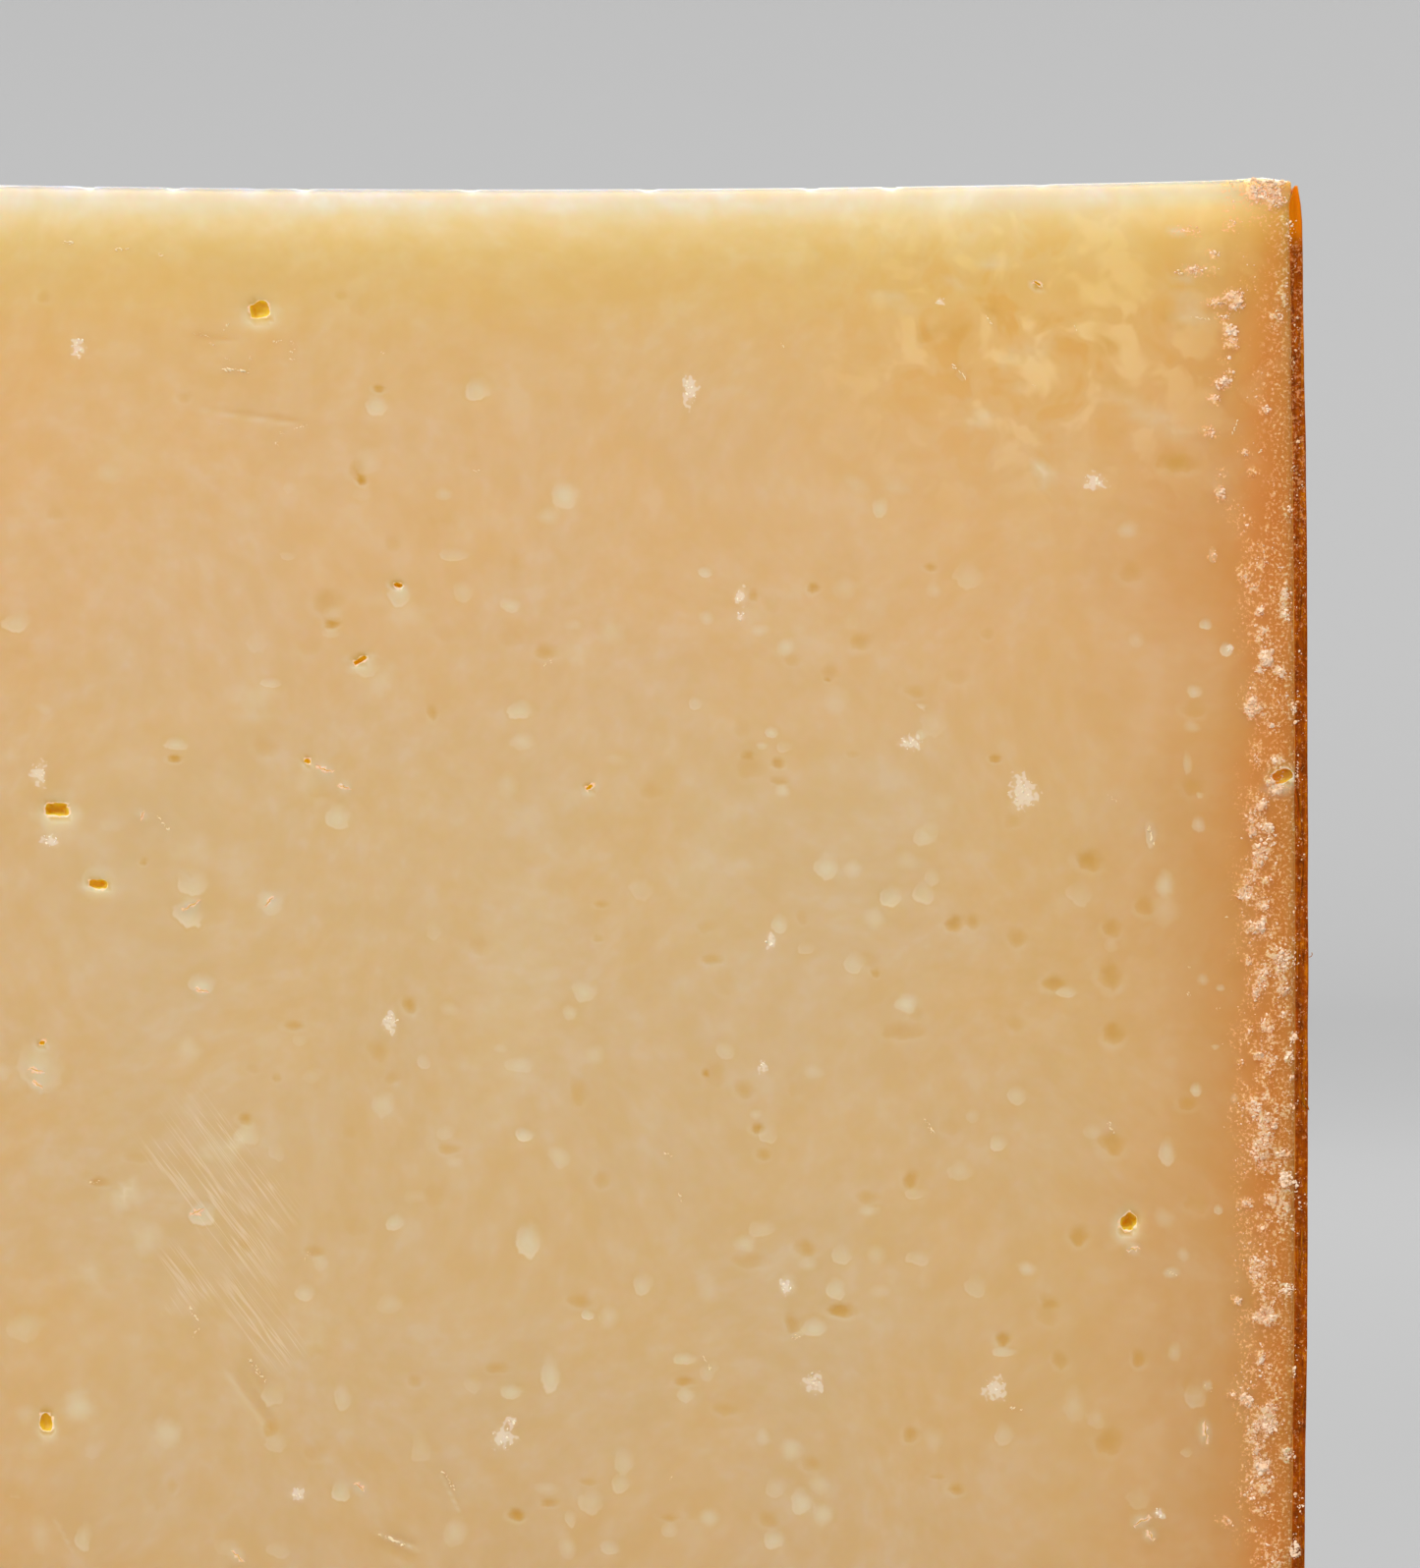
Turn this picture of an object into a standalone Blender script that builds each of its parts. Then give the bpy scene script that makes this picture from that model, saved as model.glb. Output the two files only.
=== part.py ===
"""A thick slab of aged gouda, cut through the full height of a wheel.

The slab stands on a cut face. Its left and right sides are the wheel's two flat faces, each with a
thin coated rind; the front, back, top and bottom are cut. Metres, +Z up, origin at the bottom's centre.
"""

import math
import random

import bmesh
import bpy
from mathutils import Matrix, Vector

MM = 0.001

# Driving dimensions
WIDTH = 118 * MM  # rind to rind: the height of the wheel
HEIGHT = 128 * MM
DEPTH = 52 * MM

# Rind
COAT = 1.0 * MM  # thickness of the coated rind
COAT_DROP = 0.7 * MM  # how far the coat's cut end lies below the paste beside it
COAT_ROUNDING = 0.25 * MM
GROOVE_WIDTH = 0.4 * MM  # the parting line between coat and paste
GROOVE_DEPTH = 0.35 * MM
RIND_BULGE = 0.7 * MM  # the wheel's flat face is slightly domed
BULGE_PEAK = 70 * MM  # height where the dome is fullest
BAND = 4.2 * MM  # the dry, crumbly paste under the rind
BAND_ROUGHNESS = 0.4 * MM

# Cut faces
TOP_DISH = 1.0 * MM  # the cut top sinks between the two rinds
WAVE = 0.16 * MM  # ripple that the blade leaves on the front and back
COLUMNS, ROWS, LAYERS = 8, 22, 7  # panels across, up and through the slab
BAND_COLUMNS = 4  # finer panels across the crumbly band

# Eyes: (name, from the right side, from the top, half width, half height, depth), in mm.
# These are the ones that stand open on the front.
OPEN_EYES = (
    ("high_left", 76.4, 9.6, 0.85, 0.75, 1.7),
    ("far_left", 91.2, 46.0, 0.95, 0.55, 1.6),
    ("ringed", 88.0, 51.2, 0.95, 0.80, 1.3),
    ("low_right", 13.2, 75.8, 0.70, 0.80, 1.7),
    ("low_left", 91.8, 90.4, 0.50, 0.75, 1.4),
    ("tilted_slit", 69.0, 35.0, 0.80, 0.45, 1.1),
    ("small_slit", 66.3, 29.6, 0.60, 0.40, 1.0),
    ("upper_slit", 67.8, 15.6, 0.70, 0.50, 0.9),
    ("left_slit", 82.5, 41.9, 0.80, 0.45, 0.9),
    ("cracked", 92.3, 64.6, 1.50, 1.70, 0.7),
    ("rind_side", 2.9, 43.5, 0.70, 0.50, 1.1),
    ("lower_crescent", 34.4, 82.0, 0.95, 0.60, 0.8),
)
EYE_SEGMENTS = 10
EYE_RINGS = 6

# Shallow eyes: (face, count, seed)
SHALLOW_EYES = (("front", 84, 11), ("back", 32, 23), ("top", 14, 37))
SHALLOW_SEGMENTS = 8
SHALLOW_RINGS = 4
SHALLOW_RADIUS = (0.65 * MM, 1.25 * MM)
SHALLOW_DEPTH = (0.30 * MM, 0.55 * MM)
EYE_SPACING = 3.2 * MM
EDGE_CLEARANCE = 2.4 * MM
TRIES = 4000

# Colours and finishes
PASTE_COLOUR = (0.66, 0.44, 0.20, 1.0)
PASTE_ROUGHNESS = 0.48
RIND_COLOUR = (0.42, 0.13, 0.015, 1.0)
RIND_ROUGHNESS = 0.32


def clear_scene():
    for obj in list(bpy.data.objects):
        bpy.data.objects.remove(obj)


def make_material(name, colour, roughness):
    material = bpy.data.materials.new(name)
    material.use_nodes = True
    shader = material.node_tree.nodes["Principled BSDF"]
    shader.inputs["Base Color"].default_value = colour
    shader.inputs["Roughness"].default_value = roughness
    shader.inputs["Metallic"].default_value = 0.0
    return material


def cut_lines(low, high, panels):
    """The inner lines that part low..high into equal panels."""
    return [low + (high - low) * n / panels for n in range(1, panels)]


def column_lines():
    """Where the block is cut across X: coat, groove and band on each side, and panels between."""
    outer = WIDTH / 2
    inner_coat = outer - COAT
    paste_edge = inner_coat - GROOVE_WIDTH
    band_edge = paste_edge - BAND
    side = [outer - COAT_ROUNDING, inner_coat, inner_coat - GROOVE_WIDTH / 2, paste_edge, band_edge]
    side += cut_lines(band_edge, paste_edge, BAND_COLUMNS)
    return [-x for x in side] + cut_lines(-band_edge, band_edge, COLUMNS) + side


def ripple(x, z):
    """The blade's ripple on a cut face, from 0 to WAVE."""
    slow = math.sin(x / (17 * MM)) * math.cos(z / (23 * MM) + 0.6)
    quick = math.sin(z / (5.2 * MM) + 1.3 * math.sin(x / (30 * MM)))
    return WAVE * (0.5 + 0.36 * slow + 0.14 * quick)


def side_share(x):
    """0 in the middle of the slab, 1 at a rind, rising late, so that only the sides bulge."""
    return min(1.0, abs(x) / (WIDTH / 2)) ** 6


def rind_inset(y, z):
    """How far the domed side lies inside its fullest point."""
    up = (z - BULGE_PEAK) / (HEIGHT / 2)
    through = y / (DEPTH / 2)
    return RIND_BULGE * (0.85 * up * up + 0.10 * through * through)


def top_drop(x, y):
    """How far the cut top lies below the slab's full height."""
    across = abs(x) / (WIDTH / 2)
    dish = TOP_DISH * (1 - across * across)
    return dish + 0.12 * MM * (1 - across) * math.sin(y / (8 * MM))


def cut_block(mesh):
    """A cuboid of full size, cut by planes into panels."""
    bmesh.ops.create_cube(mesh, size=1.0)
    bmesh.ops.scale(mesh, vec=(WIDTH, DEPTH, HEIGHT), verts=mesh.verts)
    bmesh.ops.translate(mesh, vec=(0, 0, HEIGHT / 2), verts=mesh.verts)
    planes = [(Vector((x, 0, 0)), Vector((1, 0, 0))) for x in column_lines()]
    planes += [(Vector((0, y, 0)), Vector((0, 1, 0))) for y in cut_lines(-DEPTH / 2, DEPTH / 2, LAYERS)]
    planes += [(Vector((0, 0, z)), Vector((0, 0, 1))) for z in cut_lines(0, HEIGHT, ROWS)]
    for point, normal in planes:
        everything = mesh.verts[:] + mesh.edges[:] + mesh.faces[:]
        bmesh.ops.bisect_plane(mesh, geom=everything, plane_co=point, plane_no=normal)


def in_band(x):
    paste_edge = WIDTH / 2 - COAT - GROOVE_WIDTH
    return paste_edge - BAND < abs(x) < paste_edge


def crumble(draw):
    """An inward depth for one point of the crumbly band: mostly little, sometimes a crag."""
    return BAND_ROUGHNESS * draw.random() ** 1.6


def shape_points(mesh):
    """Moves every point of the panelled block to its place on the real, uneven slab."""
    draw = random.Random(5)
    outer = WIDTH / 2
    inner_coat = outer - COAT
    groove = inner_coat - GROOVE_WIDTH / 2
    tiny = 0.01 * MM
    for vert in mesh.verts:
        x, y, z = vert.co
        at_front, at_back = y < -DEPTH / 2 + tiny, y > DEPTH / 2 - tiny
        at_top, at_bottom = z > HEIGHT - tiny, z < tiny
        in_coat = abs(x) > inner_coat - tiny
        at_side = abs(x) > outer - tiny
        in_groove = abs(abs(x) - groove) < tiny
        inward = Vector((0, 0, 0))

        depth = 0.0 if in_coat else ripple(x, z)
        if in_groove:
            depth = GROOVE_DEPTH
        elif in_band(x) and not at_bottom:
            depth += crumble(draw)
        if at_side:
            depth += COAT_ROUNDING
        if at_front:
            inward.y = depth
        if at_back:
            inward.y = -depth
        if at_top:
            inward.z = -top_drop(x, y)
            if in_coat:
                inward.z -= COAT_DROP
            elif in_groove:
                inward.z -= COAT_DROP + GROOVE_DEPTH
            elif in_band(x):
                inward.z -= crumble(draw)
        inward.x = -math.copysign(side_share(x) * rind_inset(y, z), x)
        vert.co += inward


def make_slab(paste, rind):
    mesh = bmesh.new()
    cut_block(mesh)
    shape_points(mesh)
    bmesh.ops.recalc_face_normals(mesh, faces=mesh.faces)
    inner_coat = WIDTH / 2 - COAT
    for face in mesh.faces:
        face.material_index = 1 if abs(face.calc_center_median().x) > inner_coat - 0.3 * MM else 0
    data = bpy.data.meshes.new("cheese")
    mesh.to_mesh(data)
    mesh.free()
    data.materials.append(paste)
    data.materials.append(rind)
    slab = bpy.data.objects.new("cheese", data)
    bpy.context.scene.collection.objects.link(slab)
    return slab


def face_frame(face):
    """Centre, across, up and outward directions of a cut face, and its half sizes."""
    if face == "front":
        return Vector((0, -DEPTH / 2, HEIGHT / 2)), Vector((1, 0, 0)), Vector((0, 0, 1)), WIDTH / 2, HEIGHT / 2
    if face == "back":
        return Vector((0, DEPTH / 2, HEIGHT / 2)), Vector((-1, 0, 0)), Vector((0, 0, 1)), WIDTH / 2, HEIGHT / 2
    return Vector((0, 0, HEIGHT)), Vector((1, 0, 0)), Vector((0, 1, 0)), WIDTH / 2, DEPTH / 2


def surface_depth(face, place):
    """How far the shaped cut face lies inside the full block at this place."""
    return top_drop(place.x, place.y) if face == "top" else ripple(place.x, place.z)


def add_eye(mesh, face, across, up, half_width, half_height, depth, tilt, segments, rings):
    """An ellipsoid sunk into a cut face, centred on its surface."""
    centre, right, above, _, _ = face_frame(face)
    outward = right.cross(above)
    place = centre + right * across + above * up
    place -= outward * surface_depth(face, place)
    turn = Matrix((right, above, outward)).transposed().to_4x4()
    size = Matrix.Diagonal((half_width, half_height, depth, 1))
    matrix = Matrix.Translation(place) @ turn @ Matrix.Rotation(tilt, 4, "Z") @ size
    bmesh.ops.create_uvsphere(mesh, u_segments=segments, v_segments=rings, radius=1.0, matrix=matrix)


def open_eyes(mesh, taken):
    """The named eyes that stand open on the front."""
    for name, from_right, from_top, half_width, half_height, depth in OPEN_EYES:
        across, up = WIDTH / 2 - from_right * MM, HEIGHT / 2 - from_top * MM
        tilt = 0.5 if name == "tilted_slit" else 0.0
        add_eye(
            mesh, "front", across, up, half_width * MM, half_height * MM, depth * MM, tilt, EYE_SEGMENTS, EYE_RINGS
        )
        taken.append(Vector((across, up)))


def shallow_eyes(mesh, face, count, seed, taken):
    """Eyes that the cut only grazed, scattered with a least spacing."""
    draw = random.Random(seed)
    _, _, _, half_across, half_up = face_frame(face)
    margin = COAT + GROOVE_WIDTH + BAND + SHALLOW_RADIUS[1] + 0.4 * MM
    placed = 0
    for _ in range(TRIES):
        if placed == count:
            return
        spot = Vector(
            (
                draw.uniform(-half_across + margin, half_across - margin),
                draw.uniform(-half_up + EDGE_CLEARANCE, half_up - EDGE_CLEARANCE),
            )
        )
        if any((spot - other).length < EYE_SPACING for other in taken):
            continue
        taken.append(spot)
        placed += 1
        radius = draw.uniform(*SHALLOW_RADIUS)
        add_eye(
            mesh,
            face,
            spot.x,
            spot.y,
            radius,
            radius * draw.uniform(0.75, 1.2),
            draw.uniform(*SHALLOW_DEPTH),
            draw.uniform(0, math.pi),
            SHALLOW_SEGMENTS,
            SHALLOW_RINGS,
        )


def make_eye_cutter(rind):
    """One helper mesh that holds every eye, used to hollow the slab's cut faces."""
    mesh = bmesh.new()
    for face, count, seed in SHALLOW_EYES:
        taken = []
        if face == "front":
            open_eyes(mesh, taken)
        shallow_eyes(mesh, face, count, seed, taken)
    bmesh.ops.recalc_face_normals(mesh, faces=mesh.faces)
    data = bpy.data.meshes.new("eye_cutter")
    mesh.to_mesh(data)
    mesh.free()
    data.materials.append(rind)
    cutter = bpy.data.objects.new("eye_cutter", data)
    bpy.context.scene.collection.objects.link(cutter)
    cutter.hide_render = True
    cutter.display_type = "WIRE"
    return cutter


def main():
    clear_scene()
    paste = make_material("paste", PASTE_COLOUR, PASTE_ROUGHNESS)
    rind = make_material("rind", RIND_COLOUR, RIND_ROUGHNESS)
    slab = make_slab(paste, rind)
    hollow = slab.modifiers.new("eyes", "BOOLEAN")
    hollow.operation = "DIFFERENCE"
    hollow.solver = "EXACT"
    hollow.object = make_eye_cutter(paste)


main()
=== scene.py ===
# A slab of aged gouda on a pale floor, cut through the full height of the wheel.
# Metres, +Z up. The cut front looks along -Y, the coated rinds are on the left and the right.

import math
import random

import bpy
import numpy as np
from mathutils import Matrix, Vector, noise
from mathutils.bvhtree import BVHTree


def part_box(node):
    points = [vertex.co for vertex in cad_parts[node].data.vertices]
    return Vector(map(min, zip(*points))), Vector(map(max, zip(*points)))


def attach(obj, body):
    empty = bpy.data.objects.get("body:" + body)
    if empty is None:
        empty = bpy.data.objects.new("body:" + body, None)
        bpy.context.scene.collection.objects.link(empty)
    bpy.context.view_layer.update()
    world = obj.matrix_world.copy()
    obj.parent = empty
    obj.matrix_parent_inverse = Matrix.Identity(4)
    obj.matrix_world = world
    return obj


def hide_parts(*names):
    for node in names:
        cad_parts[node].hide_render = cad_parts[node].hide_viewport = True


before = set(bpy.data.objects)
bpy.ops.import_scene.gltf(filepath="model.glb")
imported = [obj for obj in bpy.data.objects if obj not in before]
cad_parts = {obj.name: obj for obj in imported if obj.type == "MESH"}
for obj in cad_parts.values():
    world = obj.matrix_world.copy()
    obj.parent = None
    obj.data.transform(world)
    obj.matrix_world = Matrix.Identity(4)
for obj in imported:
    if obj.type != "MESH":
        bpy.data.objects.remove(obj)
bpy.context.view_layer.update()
mm = 0.001
low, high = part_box("cheese")
wide, deep, tall = high - low
tall = round(tall, 4)

# The wheel's faces and the knife's cuts, shared by the paste and the rind
slab = {
    "coat": 0.92 * mm,  # the coated rind
    "coatDrop": 0.55 * mm,  # its cut end lies lower than the paste
    "coatLap": 0.12 * mm,  # covers the paste's rounded edge
    "coatRecess": 0.07 * mm,  # and its cut sides lie a little behind
    "domeInset": 0.7 * mm,  # the wheel's faces are slightly domed
    "domePeak": 70 * mm,  # height where the dome is fullest
    "topDish": 0.82 * mm,  # the cut top sinks between the rinds
    "topWave": 0.12 * mm,
    "dishFades": 12 * mm,  # below the top, where the dish no longer shows
    "bladeRipple": 0.16 * mm,
    "dryBand": 6.5 * mm,  # the dry paste under the rind
}


# Hands: selecting, editing and applying


def dropSelection():
    if bpy.context.object and bpy.context.object.mode != "OBJECT":
        bpy.ops.object.mode_set(mode="OBJECT")
    bpy.ops.object.select_all(action="DESELECT")


def pick(piece):
    dropSelection()
    piece.select_set(True)
    bpy.context.view_layer.objects.active = piece


def settle(piece):
    pick(piece)
    bpy.ops.object.transform_apply(location=True, rotation=True, scale=True)


def addBlock(name, size, centre):
    dropSelection()
    bpy.ops.mesh.primitive_cube_add(size=1, location=centre)
    piece = bpy.context.object
    piece.name = name
    piece.data.name = name
    piece.scale = size
    settle(piece)
    return piece


def applyModifier(piece, kind, **settings):
    pick(piece)
    modifier = piece.modifiers.new(kind.title(), kind)
    for key, value in settings.items():
        setattr(modifier, key, value)
    bpy.ops.object.modifier_apply(modifier=modifier.name)


def splitAlong(piece, axis, cuts):
    # cuts the long edges that run along one axis, so that only that direction gets new rows
    pick(piece)
    mesh = piece.data
    bpy.ops.object.mode_set(mode="EDIT")
    bpy.ops.mesh.select_mode(type="EDGE")
    bpy.ops.mesh.select_all(action="DESELECT")
    bpy.ops.object.mode_set(mode="OBJECT")
    reach = piece.dimensions[axis]
    for edge in mesh.edges:
        run = mesh.vertices[edge.vertices[1]].co - mesh.vertices[edge.vertices[0]].co
        edge.select = abs(run[axis]) > 0.5 * reach
    bpy.ops.object.mode_set(mode="EDIT")
    bpy.ops.mesh.subdivide(number_cuts=cuts)
    bpy.ops.object.mode_set(mode="OBJECT")


def splitFaces(piece, chosen):
    pick(piece)
    bpy.ops.object.mode_set(mode="EDIT")
    bpy.ops.mesh.select_mode(type="FACE")
    bpy.ops.mesh.select_all(action="DESELECT")
    bpy.ops.object.mode_set(mode="OBJECT")
    piece.data.polygons.foreach_set("select", chosen)
    bpy.ops.object.mode_set(mode="EDIT")
    bpy.ops.mesh.subdivide(number_cuts=1)
    bpy.ops.object.mode_set(mode="OBJECT")


def addGridBlock(name, size, centre, look):
    # a block with rounded edges whose faces are cut into cells
    piece = addBlock(name, size, centre)
    applyModifier(piece, "BEVEL", width=look["edgeRounding"], segments=2, limit_method="ANGLE")
    for axis in (1, 0, 2):
        splitAlong(piece, axis, look["cells"][axis])
    return piece


def joinPieces(name, pieces):
    dropSelection()
    for piece in pieces:
        piece.select_set(True)
    bpy.context.view_layer.objects.active = pieces[0]
    bpy.ops.object.join()
    joined = bpy.context.object
    joined.name = name
    return joined


def makePiece(name, points, faces):
    mesh = bpy.data.meshes.new(name)
    mesh.from_pydata(points, [], faces)
    mesh.update()
    piece = bpy.data.objects.new(name, mesh)
    bpy.context.scene.collection.objects.link(piece)
    return piece


def readPoints(mesh, kind="vertices", field="co"):
    source = getattr(mesh, kind)
    points = np.empty(len(source) * 3, dtype=np.float32)
    source.foreach_get(field, points)
    return points.reshape(-1, 3).astype(float)


def writePoints(mesh, points):
    mesh.vertices.foreach_set("co", points.astype(np.float32).ravel())
    mesh.update()


def smooth(piece, angle=40):
    pick(piece)
    bpy.ops.object.shade_smooth_by_angle(angle=math.radians(angle))


def fade(value, full, none):
    # 1 at full, 0 at none, smooth between
    share = np.clip((value - none) / (full - none), 0, 1)
    return share * share * (3 - 2 * share)


def ring(value, middle, spread):
    return np.exp(-(((value - middle) / spread) ** 2))


def grain(points, size, seed=0):
    # smooth noise from -1 to 1 whose lumps are about size across
    shift = Vector((seed * 17.3, seed * 5.1, seed * 9.7))
    return np.array([noise.noise(Vector(p) / size + shift) for p in points])


# The cut faces: a place on one is its distance from the right rind and from the top, in mm


cutFaces = {
    "front": {"normal": Vector((0, -1, 0)), "down": Vector((0, 0, -1)), "reach": tall / mm},
    "back": {"normal": Vector((0, 1, 0)), "down": Vector((0, 0, -1)), "reach": tall / mm},
    "top": {"normal": Vector((0, 0, 1)), "down": Vector((0, -1, 0)), "reach": deep / mm},
}  # the top's places count from its back edge


def pointOn(face, fromRight, fromTop):
    if face == "top":
        return Vector((high.x - fromRight * mm, high.y - fromTop * mm, tall))
    return Vector((high.x - fromRight * mm, low.y if face == "front" else high.y, tall - fromTop * mm))


def facePlace(face, points):
    fromRight = (high.x - points[:, 0]) / mm
    if face == "top":
        return fromRight, (high.y - points[:, 1]) / mm
    return fromRight, (tall - points[:, 2]) / mm


def onFace(face, points, margin=0.5 * mm):
    if face == "front":
        return points[:, 1] < low.y + margin
    if face == "back":
        return points[:, 1] > high.y - margin
    return points[:, 2] > tall - margin


def markPlace(mark, fromRight, fromTop):
    # across and down in a mark's own turned frame, in mm; the lean is downwards to the right
    right, top, lean = mark
    across, down = right - fromRight, fromTop - top
    turn = math.radians(lean)
    return (
        across * math.cos(turn) + down * math.sin(turn),
        down * math.cos(turn) - across * math.sin(turn),
    )


# What shows in the paste; every place is (from the right, from the top), in mm


openEyes = {
    # place, width, height, lean, how square the outline is, depth
    "upper left": (76.4, 9.6, 1.5, 1.25, -15, 0.5, 0.6),
    "left": (91.1, 45.9, 1.7, 0.95, 3, 1.0, 0.75),
    "ringed": (88.1, 51.35, 1.4, 0.65, 8, 0.8, 0.6),
    "lower right": (13.2, 75.9, 1.05, 1.3, 25, 0.5, 0.95),
    "lower left": (91.9, 90.5, 0.85, 1.35, -8, 0.5, 0.5),
    "tilted": (69.1, 35.1, 1.1, 0.38, -30, 0.4, 0.5),
    "slit": (66.3, 29.6, 0.7, 0.34, 12, 0.2, 0.5),
    "pinhole": (72.9, 42.4, 0.45, 0.36, 20, 0.3, 0.3),
    "by the rind": (2.0, 43.5, 1.6, 0.95, -25, 0.8, 0.4),
    "middle": (52.4, 44.3, 0.55, 0.28, -35, 0.3, 0.3),
    "over the cracks": (92.2, 62.9, 0.45, 0.3, 0, 0.3, 0.35),
    "under the top": (19.8, 7.7, 0.7, 0.16, 35, 0.3, 0.25),
}

cracks = {
    # place, length, lean
    "left pair": (81.4, 52.9, 1.5, -32),
    "its neighbour": (75.7, 52.6, 0.9, -48),
    "below it": (80.6, 59.1, 1.1, 15),
    "arched": (80.9, 75.2, 1.0, -25),
    "by the pinhole": (71.7, 43.0, 1.3, 24),
    "second pinhole": (70.2, 44.3, 0.8, 22),
    "left edge": (92.6, 64.9, 1.1, 12),
    "left edge, lower": (92.5, 65.9, 0.9, 40),
    "small": (84.9, 46.3, 0.6, -65),
    "right": (12.9, 77.9, 0.9, -12),
    "in the band": (7.6, 91.2, 1.7, 88),
    "forked": (12.3, 97.7, 1.3, -28),
    "forked, lower": (11.6, 98.7, 0.9, 60),
    "lower left": (78.0, 100.2, 1.1, 42),
    "bottom": (69.1, 95.2, 0.8, 40),
}

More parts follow.
